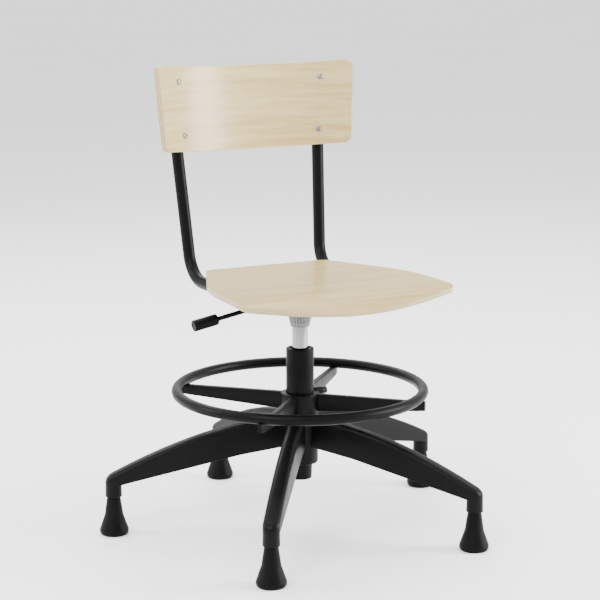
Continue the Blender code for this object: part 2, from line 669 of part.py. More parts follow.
def seat_point(point, depth):
    """The outline's point on the seat's surface, or depth below it along its normal."""
    drop, slope = seat_drop(point.y)
    return (point.x, point.y + depth * math.sin(slope), SEAT_TOP - drop - depth * math.cos(slope))


def seat(parent):
    outline = seat_outline()
    middle = Vector((0, -0.045))
    scales = [0.4, 0.72, 0.86, 0.95]
    edge = 0.001

    def ring(scale, depth):
        return [seat_point(middle + (point - middle) * scale, depth) for point in outline]

    inset = 1 - edge / SEAT_HALF_SPAN
    loops = [ring(scale, 0) for scale in scales] + [ring(inset, 0), ring(1, edge), ring(1, PLY - edge),
                                                    ring(inset, PLY)]
    loops += [ring(scale, PLY) for scale in reversed(scales)]
    board = lofted("seat", loops, BIRCH, parent)
    for number, (x, y) in enumerate([(-SEAT_SCREW_X, BAR_Y), (SEAT_SCREW_X, BAR_Y),
                                     (-SEAT_SCREW_X, -BAR_Y), (SEAT_SCREW_X, -BAR_Y)], 1):
        cut(board, rod(f"seat_hole_{number}", SEAT_SCREW_RADIUS + GAP, HOUSING_TOP, SEAT_SCREW_TOP + GAP,
                       BIRCH, parent, 12, Matrix.Translation((x, y, 0))))


# ---------------------------------------------------------------- back
def back_point(across, up, depth):
    """A point on the back: across and up its front face, and depth behind it."""
    turn = math.asin(across / BACK_CURVE_RADIUS)
    radius = BACK_CURVE_RADIUS + depth
    x = radius * math.sin(turn)
    behind = radius * math.cos(turn) - BACK_CURVE_RADIUS
    y = BACK_CENTRE[0] + behind * math.cos(RECLINE) + up * math.sin(RECLINE)
    z = BACK_CENTRE[1] - behind * math.sin(RECLINE) + up * math.cos(RECLINE)
    return Vector((x, y, z))


def back_half_width(up):
    """Half the back's width at a height on it, with its round corners."""
    share = up / BACK_HEIGHT + 0.5
    width = BACK_BOTTOM_HALF_WIDTH + (BACK_TOP_HALF_WIDTH - BACK_BOTTOM_HALF_WIDTH) * share
    into = abs(up) - (BACK_HEIGHT / 2 - BACK_CORNER_RADIUS)
    if into > 0:
        width -= BACK_CORNER_RADIUS - math.sqrt(max(0.0, BACK_CORNER_RADIUS ** 2 - into ** 2))
    return width


def backrest(parent):
    """A grid of rows up the front face and down the rear face, closed by its four edges."""
    limit = BACK_HEIGHT / 2
    rows = [-limit + BACK_CORNER_RADIUS * (1 - math.cos(math.radians(30 * k))) for k in range(4)]
    rows += [0.0] + [-up for up in reversed(rows)]
    columns = 22
    loops = []
    faces = [(up, 0.0) for up in rows] + [(up, BACK_PLY) for up in reversed(rows)]
    bm = bmesh.new()
    for up, depth in faces:
        width = back_half_width(up)
        loops.append([bm.verts.new(back_point(width * (2 * k / columns - 1), up, depth))
                      for k in range(columns + 1)])
    count = len(loops)
    for i in range(count):
        first, second = loops[i], loops[(i + 1) % count]
        for k in range(columns):
            bm.faces.new((first[k], first[k + 1], second[k + 1], second[k]))
    for i in range(len(rows) - 1):
        mirror = count - 1 - i
        for k in (0, columns):
            bm.faces.new((loops[i][k], loops[i + 1][k], loops[mirror - 1][k], loops[mirror][k]))
    board = finish_mesh("backrest", bm, BIRCH, parent)
    for number, turn in enumerate(bolt_places(), 1):
        cut(board, rod(f"back_hole_{number}", BOLT_RADIUS + GAP, -0.02, 0.02, BIRCH, parent, 12, turn))
    return board


def bolt_places():
    """A frame at each bolt: the origin on the back's front face, +Z pointing forwards out of it."""
    places = []
    for up, across in BOLT_ROWS:
        for side in (-1, 1):
            front = back_point(side * across, up, 0)
            outward = (front - back_point(side * across, up, 0.01)).normalized()
            places.append(Matrix.Translation(front) @ outward.to_track_quat("Z", "Y").to_matrix().to_4x4())
    return places


def tube_line(height):
    """Middle of the right-hand upright at a height."""
    rise = height - TUBE_RUN_HEIGHT
    return Vector((TUBE_FOOT[0] + TUBE_SPLAY * rise, TUBE_FOOT[1] + TUBE_LEAN * rise, height))


def tube_path():
    """The run under the seat, one bend, and the upright, as points on the right-hand tube."""
    corner = tube_line(TUBE_RUN_HEIGHT)
    back = Vector((0, 1, 0))
    up = (tube_line(1) - tube_line(0)).normalized()
    turn = back.angle(up)
    inset = TUBE_BEND_RADIUS * math.tan(turn / 2)
    axis = back.cross(up).normalized()
    centre = corner - back * inset + axis.cross(back) * TUBE_BEND_RADIUS
    spoke = corner - back * inset - centre
    points = [Vector((corner.x, TUBE_RUN_FRONT, corner.z))]
    bend_steps = 8
    for k in range(bend_steps + 1):
        points.append(centre + Matrix.Rotation(turn * k / bend_steps, 3, axis) @ spoke)
    for height in (0.62, TUBE_TOP_HEIGHT):
        points.append(tube_line(height))
    return points


def back_tube(name, side, parent):
    """A hollow bent tube with a plug in its top and holes for the bolts."""
    path = [Vector((side * p.x, p.y, p.z)) for p in tube_path()]
    sides = 12
    bolt_play = 0.0006
    plug_length = 0.012
    plug_radius = TUBE_RADIUS - TUBE_WALL - 0.0007
    cap_height = 0.0025
    cap_edge = 0.0012
    tangents = [(path[min(i + 1, len(path) - 1)] - path[max(i - 1, 0)]).normalized()
                for i in range(len(path))]

    def loops(radius):
        rings = []
        for point, tangent in zip(path, tangents):
            across = Vector((1, 0, 0))
            across = (across - tangent * across.dot(tangent)).normalized()
            other = tangent.cross(across)
            rings.append([point + radius * (math.cos(2 * math.pi * k / sides) * across
                                            + math.sin(2 * math.pi * k / sides) * other)
                          for k in range(sides)])
        return rings

    tube = lofted(name, loops(TUBE_RADIUS) + loops(TUBE_RADIUS - TUBE_WALL)[::-1], POWDER, parent,
                  ring=True)
    for number, turn in enumerate(bolt_places(), 1):
        if turn.translation.x * side > 0:
            cut(tube, rod(f"{name}_hole_{number}", BOLT_RADIUS + bolt_play, -0.05, 0.01, POWDER, parent,
                          12, turn))
    frame = Matrix.Translation(path[-1]) @ tangents[-1].to_track_quat("Z", "X").to_matrix().to_4x4()
    turned(f"{name}_plug",
           [(0, -plug_length), (plug_radius, -plug_length), (plug_radius, GAP), (TUBE_RADIUS - GAP, GAP),
            (TUBE_RADIUS - cap_edge, cap_height), (0, cap_height)],
           RUBBER, parent, 12, closed=False, turn=frame)


def back_bolts(parent):
    """Each bolt runs through the back, a spacer and the tube, into a domed nut behind."""
    washer = 0.0012
    thread_past = 0.0045
    head_base = 0.0008
    head_shoulder = 0.0022
    head_dome = 0.0034
    head_top = 0.0036
    recess = 0.0020
    recess_radius = 0.0018
    nut_dome = 0.0035
    for number, turn in enumerate(bolt_places(), 1):
        side = math.copysign(1, turn.translation.x)
        middle = tube_line(turn.translation.z)
        middle.x *= side
        tube_depth = (turn.inverted() @ middle).z
        nut_face = tube_depth - TUBE_RADIUS - washer
        tip = nut_face - thread_past
        sleeve(f"back_spacer_{number}", BOLT_RADIUS + GAP, SPACER_RADIUS, tube_depth + TUBE_RADIUS + GAP,
               -BACK_PLY - GAP, RUBBER, parent, 12, turn)
        turned(f"back_bolt_{number}",
               [(0, tip), (BOLT_RADIUS, tip), (BOLT_RADIUS, head_base), (BOLT_HEAD_RADIUS, head_base),
                (BOLT_HEAD_RADIUS * 0.94, head_shoulder), (BOLT_HEAD_RADIUS * 0.6, head_dome),
                (recess_radius, head_top), (recess_radius, recess), (0, recess)],
               STEEL, parent, 12, closed=False, turn=turn)
        turned(f"back_nut_{number}",
               [(0, tip - GAP), (BOLT_RADIUS + 2 * GAP, tip - GAP), (BOLT_RADIUS + 2 * GAP, nut_face),
                (BOLT_HEAD_RADIUS, nut_face), (BOLT_HEAD_RADIUS, nut_face - 0.0050),
                (nut_dome, nut_face - 0.0075), (0, nut_face - 0.0080)],
               STEEL, parent, 12, closed=False, turn=turn)


# ---------------------------------------------------------------- the chair
def chair():
    axis = empty("chair_axis", location=(0, -BOX_CENTRE_Y, 0))
    base_star(axis)
    for number, angle in enumerate(FOOT_ANGLES, 1):
        foot(number, angle, axis)
    column(axis)
    foot_ring(empty("foot_ring_slide", axis))
    swivel = empty("swivel", axis)
    piston(swivel)
    lift = empty("seat_lift", swivel)
    gas_cylinder(lift)
    fluted_collar(lift)
    mechanism(lift)
    seat(lift)
    backrest(lift)
    back_tube("back_tube_right", 1, lift)
    back_tube("back_tube_left", -1, lift)
    back_bolts(lift)
    rod("valve_button", VALVE_RADIUS, VALVE_BOTTOM, VALVE_TOP, STEEL, empty("valve_slide", lift), 16)
    lever(empty("lever_axis", lift, lever_pivot(), (0, LEVER_DROOP, math.pi)))


chair()
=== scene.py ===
# The looks of the drafting chair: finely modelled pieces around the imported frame, with procedural
# finishes. Metres, +Z up; the chair faces -Y. The column's axis stands a little in front of the origin.

import json
import math

import bmesh
import bpy
from mathutils import Matrix, Vector


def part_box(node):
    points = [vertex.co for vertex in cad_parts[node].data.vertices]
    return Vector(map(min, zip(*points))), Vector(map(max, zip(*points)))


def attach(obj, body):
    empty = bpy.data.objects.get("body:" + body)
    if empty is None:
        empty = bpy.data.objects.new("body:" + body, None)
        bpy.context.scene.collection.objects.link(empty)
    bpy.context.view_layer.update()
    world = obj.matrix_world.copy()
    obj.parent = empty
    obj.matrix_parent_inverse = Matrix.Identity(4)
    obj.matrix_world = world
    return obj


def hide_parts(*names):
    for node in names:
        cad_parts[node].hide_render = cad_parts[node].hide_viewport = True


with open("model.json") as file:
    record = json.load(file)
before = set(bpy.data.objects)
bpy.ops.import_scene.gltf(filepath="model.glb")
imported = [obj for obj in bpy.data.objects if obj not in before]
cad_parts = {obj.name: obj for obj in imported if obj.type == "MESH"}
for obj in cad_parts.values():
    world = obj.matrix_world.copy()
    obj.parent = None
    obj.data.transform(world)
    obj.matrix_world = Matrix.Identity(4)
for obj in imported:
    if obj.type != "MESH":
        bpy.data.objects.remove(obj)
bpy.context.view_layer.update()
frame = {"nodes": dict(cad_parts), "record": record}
NODES = frame["nodes"]


def middle(node):
    low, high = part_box(node)
    return (low + high) / 2


def half_size(node):
    low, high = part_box(node)
    return (high - low) / 2


AXIS = Vector((0, middle("gas_cylinder").y, 0))
TO_AXIS = Matrix.Translation(AXIS)
FOOT_PLACES = [middle(f"foot_{number}") for number in range(1, 6)]
FOOT_CIRCLE = sum((Vector((p.x, p.y, 0)) - AXIS).length for p in FOOT_PLACES) / len(FOOT_PLACES)
FOOT_ANGLES = [18, 90, 162, 234, 306]
SPIDER_ANGLES = [45, 135, 225, 315]


def around(degrees):
    """From the chair's own axis to the row frame, turned about the column."""
    return TO_AXIS @ Matrix.Rotation(math.radians(degrees), 4, "Z")


# ---- material helpers
class Finish:
    """A Principled material that is built up from patterns in the object's own coordinates."""

    def __init__(self, name, metallic=0.0, coat=0.0, coat_roughness=0.1, specular=0.5):
        self.material = bpy.data.materials.new(name)
        self.material.use_nodes = True
        self.tree = self.material.node_tree
        self.shader = self.tree.nodes["Principled BSDF"]
        self.shader.inputs["Metallic"].default_value = metallic
        self.shader.inputs["Coat Weight"].default_value = coat
        self.shader.inputs["Coat Roughness"].default_value = coat_roughness
        self.shader.inputs["Specular IOR Level"].default_value = specular
        self.place = self.tree.nodes.new("ShaderNodeTexCoord").outputs["Object"]

    def noise(self, scale, stretch=(1, 1, 1), detail=3.0, roughness=0.5, distortion=0.0, shift=(0, 0, 0)):
        """Soft noise whose features are stretched along an axis where its share is small."""
        mapping = self.tree.nodes.new("ShaderNodeMapping")
        mapping.inputs["Scale"].default_value = stretch
        mapping.inputs["Location"].default_value = shift
        self.tree.links.new(self.place, mapping.inputs["Vector"])
        node = self.tree.nodes.new("ShaderNodeTexNoise")
        node.inputs["Scale"].default_value = scale
        node.inputs["Detail"].default_value = detail
        node.inputs["Roughness"].default_value = roughness
        node.inputs["Distortion"].default_value = distortion
        self.tree.links.new(mapping.outputs["Vector"], node.inputs["Vector"])
        return node.outputs["Fac"]

    def spread(self, value, low, high, low_out=0.0, high_out=1.0):
        """Maps low..high to low_out..high_out, held at both ends."""
        node = self.tree.nodes.new("ShaderNodeMapRange")
        node.inputs["From Min"].default_value = low
        node.inputs["From Max"].default_value = high
        node.inputs["To Min"].default_value = low_out
        node.inputs["To Max"].default_value = high_out
        self.tree.links.new(value, node.inputs["Value"])
        return node.outputs["Result"]

    def maths(self, operation, first, second):
        node = self.tree.nodes.new("ShaderNodeMath")
        node.operation = operation
        for socket, value in zip(node.inputs, (first, second)):
            if isinstance(value, (int, float)):
                socket.default_value = value
            else:
                self.tree.links.new(value, socket)
        return node.outputs["Value"]

    def ramp(self, value, stops):
        """Colours along value, from (position, colour) pairs."""
        node = self.tree.nodes.new("ShaderNodeValToRGB")
        band = node.color_ramp
        while len(band.elements) < len(stops):
            band.elements.new(0.5)
        for element, (position, colour) in zip(band.elements, stops):
            element.position = position
            element.color = (*colour, 1)
        self.tree.links.new(value, node.inputs["Fac"])
        return node.outputs["Color"]

    def blend(self, share, first, second, kind="MIX"):
        """Mixes two colours; share is how much of the second shows."""
        node = self.tree.nodes.new("ShaderNodeMix")
        node.data_type = "RGBA"
        node.blend_type = kind
        for name, sort, value in (("Factor", "VALUE", share), ("A", "RGBA", first), ("B", "RGBA", second)):
            socket = next(s for s in node.inputs if (s.name, s.type) == (name, sort))
            if isinstance(value, (int, float)):
                socket.default_value = value
            elif isinstance(value, tuple):
                socket.default_value = (*value, 1)
            else:
                self.tree.links.new(value, socket)
        return next(s for s in node.outputs if s.type == "RGBA")

    def bumps(self, layers):
        """Stacks (height, strength, depth in metres) layers into the surface normal."""
        normal = None
        for height, strength, depth in layers:
            node = self.tree.nodes.new("ShaderNodeBump")
            node.inputs["Strength"].default_value = strength
            node.inputs["Distance"].default_value = depth
            self.tree.links.new(height, node.inputs["Height"])
            if normal is not None:
                self.tree.links.new(normal, node.inputs["Normal"])
            normal = node.outputs["Normal"]
        self.tree.links.new(normal, self.shader.inputs["Normal"])

    def set(self, colour, roughness):
        self.tree.links.new(colour, self.shader.inputs["Base Color"])
        self.tree.links.new(roughness, self.shader.inputs["Roughness"])


# ---- finishes
def veneer(name, across, coat, coat_roughness, tint_and_painted_shade):
    """Pale birch with its grain along X; across is how fast the figure changes along X, Y and Z."""
    f = Finish(name, coat=coat, coat_roughness=coat_roughness, specular=0.20)
    streaks = f.noise(105, across, detail=3.0, roughness=0.60, distortion=0.20)
    bands = f.noise(34, across, detail=1.5, roughness=0.45, distortion=0.30, shift=(0.3, 0.1, 0.7))
    fibres = f.noise(430, across, detail=2.0, roughness=0.6)
    pores = f.noise(900, across, detail=1.0, roughness=0.5, shift=(0.6, 0.2, 0.4))
    tone = f.ramp(bands, [(0.32, (0.440, 0.316, 0.122)), (0.50, (0.490, 0.364, 0.154)),
                          (0.68, (0.530, 0.410, 0.190))])
    streak = f.spread(streaks, 0.36, 0.66)
    tone = f.blend(f.maths("MULTIPLY", streak, 0.72), tone, (0.605, 0.495, 0.275))
    tone = f.blend(f.spread(fibres, 0.50, 0.76, 0.0, 0.26), tone, (0.330, 0.215, 0.080))
    tone = f.blend(f.spread(pores, 0.66, 0.82, 0.0, 0.22), tone, (0.270, 0.160, 0.070))
    # Multiplies the whole finish by one colour: a slight tint on the back, and on the seat painted shade that
    # makes the same birch darker than the back's.
    tone = f.blend(1.0, tone, tint_and_painted_shade, "MULTIPLY")
    f.set(tone, f.spread(streaks, 0.25, 0.75, 0.34, 0.46))
    f.bumps([(fibres, 0.10, 0.0002), (pores, 0.08, 0.0002)])
    return f.material


def ply_edge(name, plies, across):
    """The board's cut edge: plies in turn along and across the grain, with a thin glue line between."""
    f = Finish(name, coat=0.20, coat_roughness=0.25, specular=0.4)
    depth = f.tree.nodes.new("ShaderNodeAttribute")
    depth.attribute_name = "ply_depth"
    layer = f.maths("MULTIPLY", depth.outputs["Fac"], plies)
    turn = f.maths("PINGPONG", layer, 1.0)
    grain = f.noise(170, across, detail=2.0, roughness=0.6)
    broad = f.noise(14, detail=1.5)
    tone = f.ramp(turn, [(0.12, (0.225, 0.150, 0.078)), (0.32, (0.390, 0.295, 0.142)),
                         (0.66, (0.530, 0.425, 0.225)), (0.90, (0.430, 0.325, 0.185))])
    tone = f.blend(f.spread(grain, 0.45, 0.75, 0.0, 0.28), tone, (0.260, 0.160, 0.085))
    tone = f.blend(f.spread(broad, 0.35, 0.65, 0.0, 0.20), tone, (0.570, 0.455, 0.250))
    f.set(tone, f.spread(grain, 0.3, 0.7, 0.44, 0.60))
    f.bumps([(turn, 0.15, 0.0002), (grain, 0.16, 0.0002)])
    return f.material


def moulded(name, dark, light, low_roughness, high_roughness, grain, bump, specular):
    """Moulded plastic: a fine spark-eroded grain, faint flow marks and slightly polished patches."""
    f = Finish(name, specular=specular)
    texture = f.noise(grain, detail=2.0, roughness=0.6)
    flow = f.noise(22, (1, 1, 0.5), detail=2.0, distortion=0.6)
    rubbed = f.noise(60, detail=4.0, roughness=0.65, shift=(0.4, 0.9, 0.1))
    tone = f.ramp(flow, [(0.30, dark), (0.70, light)])
    tone = f.blend(f.spread(rubbed, 0.60, 0.80, 0.0, 0.35), tone, tuple(1.7 * c for c in light))
    rough = f.maths("ADD", f.spread(flow, 0.3, 0.7, low_roughness, high_roughness),
                    f.spread(rubbed, 0.55, 0.80, 0.0, -0.06))
    f.set(tone, rough)
    f.bumps([(texture, bump, 0.0002), (flow, 0.05, 0.0010)])
    return f.material


def powder_coat(name):
    """Satin black powder coat: orange peel, dust-fine speckle and a few lighter rubs."""
    f = Finish(name, specular=0.085)
    peel = f.noise(420, detail=1.5, roughness=0.5)
    speckle = f.noise(1900, detail=1.0)
    wear = f.noise(38, detail=4.5, roughness=0.7, shift=(0.2, 0.5, 0.8))
    tone = f.ramp(speckle, [(0.35, (0.0009, 0.0009, 0.0010)), (0.70, (0.0017, 0.0017, 0.0018))])
    tone = f.blend(f.spread(wear, 0.62, 0.82, 0.0, 0.5), tone, (0.0050, 0.0050, 0.0052))
    f.set(tone, f.spread(wear, 0.35, 0.70, 0.44, 0.34))
    f.bumps([(peel, 0.14, 0.0003), (speckle, 0.06, 0.0001)])
    return f.material


def chrome(name):
    """Polished hard chrome with faint lengthwise travel marks."""
    f = Finish(name, metallic=1.0)
    marks = f.noise(260, (1, 1, 0.02), detail=2.0)
    haze = f.noise(30, (1, 1, 0.4), detail=3.0)
    tone = f.ramp(haze, [(0.30, (0.215, 0.217, 0.222)), (0.70, (0.300, 0.300, 0.304))])
    f.set(tone, f.maths("ADD", f.spread(haze, 0.3, 0.7, 0.07, 0.12), f.spread(marks, 0.6, 0.8, 0.0, 0.08)))
    f.bumps([(marks, 0.03, 0.0001)])
    return f.material


def brushed(name):
    """Turned metal: fine rings round the column, with cast mottling underneath."""
    f = Finish(name, metallic=1.0)
    rings = f.noise(150, (0.1, 0.1, 9), detail=2.0)
    cast = f.noise(120, detail=3.0)
    tone = f.ramp(rings, [(0.30, (0.120, 0.120, 0.120)), (0.70, (0.260, 0.257, 0.252))])
    tone = f.blend(f.spread(cast, 0.5, 0.75, 0.0, 0.25), tone, (0.130, 0.130, 0.130))
    f.set(tone, f.spread(rings, 0.3, 0.7, 0.30, 0.44))
    f.bumps([(rings, 0.18, 0.0001), (cast, 0.10, 0.0001)])
    return f.material


def zinc(name):
    """Bright zinc plate: a soft spangle, cool and warm by turns."""
    f = Finish(name, metallic=1.0)
    spangle = f.noise(330, detail=2.5, roughness=0.6)
    tint = f.noise(90, detail=2.0, shift=(0.7, 0.3, 0.2))
    tone = f.ramp(tint, [(0.30, (0.190, 0.198, 0.215)), (0.70, (0.300, 0.296, 0.290))])
    f.set(tone, f.spread(spangle, 0.3, 0.7, 0.22, 0.38))
    f.bumps([(spangle, 0.07, 0.0001)])
    return f.material


def black_oxide(name):
    """A blackened steel screw, oily in patches."""
    f = Finish(name, metallic=0.8)
    patches = f.noise(260, detail=3.0)
    tone = f.ramp(patches, [(0.30, (0.016, 0.016, 0.017)), (0.70, (0.045, 0.044, 0.043))])
    f.set(tone, f.spread(patches, 0.3, 0.7, 0.30, 0.48))
    f.bumps([(patches, 0.10, 0.0001)])
    return f.material


# Painted shade: the seat's multiplier makes the same birch as the back's darker and warmer.
SEAT_VENEER = veneer("birch_seat", across=(0.055, 1.0, 1.0), coat=0.15, coat_roughness=0.13,
                     tint_and_painted_shade=(0.72, 0.68, 0.54))
BACK_VENEER = veneer("birch_back", across=(0.055, 0.10, 1.0), coat=0.60, coat_roughness=0.27,
                     tint_and_painted_shade=(0.98, 0.96, 0.88))
PLY_EDGE = ply_edge("birch_ply_edge", plies=7, across=(0.5, 0.5, 1.0))
NYLON = moulded("glass_filled_nylon", (0.0010, 0.0010, 0.0011), (0.0019, 0.0019, 0.0020),
                low_roughness=0.36, high_roughness=0.46, grain=1300, bump=0.20, specular=0.095)
GLIDE = moulded("glide_plastic", (0.0011, 0.0011, 0.0012), (0.0020, 0.0020, 0.0020),
                low_roughness=0.40, high_roughness=0.52, grain=1100, bump=0.22, specular=0.080)
PLASTIC = moulded("matt_plastic", (0.0009, 0.0009, 0.0010), (0.0016, 0.0016, 0.0016),
                  low_roughness=0.40, high_roughness=0.52, grain=1500, bump=0.16, specular=0.085)
POWDER = powder_coat("satin_powder_coat")
CHROME = chrome("hard_chrome")
BRUSHED = brushed("brushed_collar")
ZINC = zinc("zinc_plate")
OXIDE = black_oxide("black_oxide")
SLOT_FINISH = {"birch": SEAT_VENEER, "nylon": NYLON, "glide": GLIDE, "powder_coat": POWDER,
               "plastic": PLASTIC, "chrome": CHROME, "brushed_metal": BRUSHED, "zinc_steel": ZINC,
               "black_screw": OXIDE}


# ---- mesh helpers
MERGE_DISTANCE = 1e-6
CORNER_STEPS = 5
CLEARANCE = 0.0003  # between a part and the hole it sits in
OVERRUN = 0.01  # how far a cutter runs past the surface it leaves by


def face_outwards(bm):
    """Points every face out of the solid."""
    bmesh.ops.recalc_face_normals(bm, faces=bm.faces)
    if bm.calc_volume(signed=True) < 0:
        bmesh.ops.reverse_faces(bm, faces=bm.faces)


def solid(name, bm):
    """Turns bm into a closed object whose faces point out."""
    bmesh.ops.remove_doubles(bm, verts=bm.verts, dist=MERGE_DISTANCE)
    face_outwards(bm)
    mesh = bpy.data.meshes.new(name)
    bm.to_mesh(mesh)
    bm.free()
    result = bpy.data.objects.new(name, mesh)
    bpy.context.scene.collection.objects.link(result)
    return result


def reshade(target, smooth):
    """Smooth shading, broken where faces meet at more than smooth degrees."""
    target.data.shade_smooth()
    target.data.set_sharp_from_angle(angle=math.radians(smooth))


def piece(name, bm, finishes, body, nodes, smooth=30):
    """Turns bm into a piece that rides on a body and stands for CAD nodes."""
    result = solid(name, bm)
    for finish in finishes:
        result.data.materials.append(finish)
    reshade(result, smooth)
    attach(result, body)
    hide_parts(*nodes)
    return result


def turn_at(before, here, after):
    """How far an outline turns at a corner."""
    return (here - before).normalized().angle_signed((after - here).normalized())


def corner_arc(before, here, after, radius, steps):
    """Points along the arc that rounds an outline's corner."""
    arrive = (here - before).normalized()
    turn = turn_at(before, here, after)
    inset = radius * math.tan(abs(turn) / 2)
    side = math.copysign(1, turn)
    centre = here - arrive * inset + side * radius * Vector((arrive.y, -arrive.x))
    spoke = here - arrive * inset - centre
    return [centre + Matrix.Rotation(-turn * k / steps, 2) @ spoke for k in range(steps + 1)]


def rounded(profile):
    """Rounds a profile's corners: points are (radius, height) or (radius, height, corner radius)."""
    points = []
    for i, corner in enumerate(profile):
        here = Vector(corner[:2])
        if len(corner) < 3 or i in (0, len(profile) - 1):
            points.append(here)
        else:
            before, after = Vector(profile[i - 1][:2]), Vector(profile[i + 1][:2])
            points += corner_arc(before, here, after, corner[2], CORNER_STEPS)
    return points


def spun(bm, profile, place, segments, closed=False):
    """Adds a turned shape to bm. A closed profile is a ring; an open one starts and ends on the axis."""
    points = [bm.verts.new((p[0], 0, p[1])) for p in rounded(profile)]
    edges = [bm.edges.new(pair) for pair in zip(points, points[1:])]
    if closed:
        edges.append(bm.edges.new((points[-1], points[0])))
    bmesh.ops.spin(bm, geom=points + edges, axis=(0, 0, 1), cent=(0, 0, 0), steps=segments,
                   angle=2 * math.pi)
    bmesh.ops.transform(bm, matrix=place, verts=bm.verts)


def lathe(name, profile, finish, body, nodes, place=TO_AXIS, segments=72, closed=False):
    bm = bmesh.new()
    spun(bm, profile, place, segments, closed)
    piece(name, bm, [finish], body, nodes)


def scratch_spun(name, profile, place, segments):
    """A turned solid that only helps to make another."""
    bm = bmesh.new()
    spun(bm, profile, place, segments)
    return solid(name, bm)


def drill(name, radius, start, end, place, segments=32):
    """A cutter for a round hole along place's Z."""
    return scratch_spun(name, [(0, start), (radius, start), (radius, end), (0, end)], place, segments)


def combine(target, others, operation):
    """Joins scratch solids to target, or cuts them out of it, for good."""
    for other in others:
        step = target.modifiers.new("combine", "BOOLEAN")
        step.operation = operation
        step.solver = "EXACT"
        step.object = other
    view = bpy.context.evaluated_depsgraph_get()
    mesh = bpy.data.meshes.new_from_object(target.evaluated_get(view))
    target.modifiers.clear()
    target.data = mesh
    for other in others:
        bpy.data.objects.remove(other)


def loop_round(place, height, reaches):
    """Points evenly round place's Z, each as far out as its entry in reaches."""
    points = []
    for i, reach in enumerate(reaches):
        turn = 2 * math.pi * i / len(reaches)
        points.append(place @ Vector((reach * math.cos(turn), reach * math.sin(turn), height)))
    return points


def hexagon(radius, count):
    """How far out count points round a hexagon lie; radius is to its flats."""
    return [1 / math.cos(((i / count * 6) % 1 - 0.5) * math.pi / 3) * radius for i in range(count)]


def blade_section(reach, half, bottom, top, lower, upper, steps):
    """An upright rounded rectangle at reach; lower and upper are its corner radii."""
    points = []
    for across, height, radius, start in ((half - lower, bottom + lower, lower, -90),
                                          (half - upper, top - upper, upper, 0),
                                          (-half + upper, top - upper, upper, 90),
                                          (-half + lower, bottom + lower, lower, 180)):
        for k in range(steps + 1):
            turn = math.radians(start + 90 * k / steps)
            points.append(Vector((reach, across + radius * math.cos(turn), height + radius * math.sin(turn))))
    return points


def skin(bm, loops, ring=False):
    """Adds a surface over a row of equal loops, capped at both ends; ring joins the last to the first."""
    rows = [[bm.verts.new(point) for point in loop] for loop in loops]
    count = len(rows[0])
    pairs = list(zip(rows, rows[1:]))
    if ring:
        pairs.append((rows[-1], rows[0]))
    else:
        bm.faces.new(rows[0])
        bm.faces.new(rows[-1])
    for first, second in pairs:
        for i in range(count):
            j = (i + 1) % count
            bm.faces.new((first[i], first[j], second[j], second[i]))
    return rows


def rounded_box(bm, low, high, radius, place=Matrix()):
    """Adds a block whose twelve edges are rounded."""
    made = bmesh.ops.create_cube(bm, size=1)["verts"]
    low, high = Vector(low), Vector(high)
    bmesh.ops.scale(bm, vec=high - low, verts=made)
    bmesh.ops.translate(bm, vec=(low + high) / 2, verts=made)
    edges = list({e for v in made for e in v.link_edges})
    bmesh.ops.bevel(bm, geom=edges, offset=radius, segments=3, profile=0.5, affect="EDGES")
    bmesh.ops.transform(bm, matrix=place, verts=bm.verts)


def swept_tube(bm, path, radius, bore, sides):
    """Adds a round tube along path, open at both ends."""
    last = len(path) - 1

    def loops(r):
        rings = []
        for i, point in enumerate(path):
            tangent = (path[min(i + 1, last)] - path[max(i - 1, 0)]).normalized()
            across = Vector((1, 0, 0))
            across = (across - tangent * across.dot(tangent)).normalized()
            other = tangent.cross(across)
            rings.append([point + r * (math.cos(2 * math.pi * k / sides) * across
                                       + math.sin(2 * math.pi * k / sides) * other) for k in range(sides)])
        return rings

    skin(bm, loops(radius) + loops(bore)[::-1], ring=True)


def facing(direction, up):
    """A rotation whose Z points along direction."""
    return direction.normalized().to_track_quat("Z", up).to_matrix().to_4x4()


# ---- base
LEG_TOP = ((0.030, 0.203), (0.170, 0.196), (0.340, 0.1105))
LEG_UNDER = ((0.032, 0.1490), (0.110, 0.1375), (0.322, 0.0925))
LEG_TIP = 0.335
LEG_START = 0.014
LEG_HALF_WIDTH = 0.0144
LEG_ROOT_HALF_WIDTH = 0.0138
LEG_EDGE_RADIUS = 0.0088
LEG_UNDER_RADIUS = 0.0012
NOSE_START = 0.012
NOSE_REACH = 0.0146
NOSE_END_HEIGHT = 0.0935
LEG_STEPS = 44
NOSE_STEPS = 14
HUB_RADIUS = 0.0327
HUB_BOTTOM = 0.117
HUB_TOP = 0.2055
NOSE_TURN = math.radians(86)
SLOPE_STEP = 0.002
TAPER_TOP = 0.195  # where the column's tapered foot ends
BORE_FLOOR = 0.1
BORE_TAPER = 0.0030
SOCKET_RADIUS = 0.0142
SOCKET_FLARE = 0.0006
SOCKET_BOTTOM = 0.0690
SOCKET_RISE = 0.007
# A small twist keeps a turned solid's facets from lining up with the faces it meets.
SOCKET_TWIST = 0.06
POCKET_TWIST = 0.11
GLIDE_NECK = 0.0118
GLIDE_BREAK = (0.0166, 0.0360)
STUD_BORE = 0.0053
STUD_BORE_TOP = 0.020


def foot_place(angle):
    return around(angle) @ Matrix.Translation((FOOT_CIRCLE, 0, 0))


def leg_top_at(share, index):
    """The back curve's distance out (index 0) or height (index 1) at a share of its own parameter."""
    weights = ((1 - share) ** 2, 2 * share * (1 - share), share * share)
    return sum(weight * point[index] for weight, point in zip(weights, LEG_TOP))


def leg_top(reach):
    """Height of the leg's back; the curve's own parameter is found by halving."""
    low, high = 0.0, 1.0
    for _ in range(40):
        share = (low + high) / 2
        if leg_top_at(share, 0) < reach:
            low = share
        else:
            high = share
    return leg_top_at(low, 1)


def leg_under(reach):
    """Height of the leg's underside, its two stretches blended where they meet."""
    (r0, z0), (r1, z1), (r2, z2) = LEG_UNDER
    first = z0 + (z1 - z0) * (reach - r0) / (r1 - r0)
    second = z1 + (z2 - z1) * (reach - r1) / (r2 - r1)
    return min(first, second) if reach < r1 else second


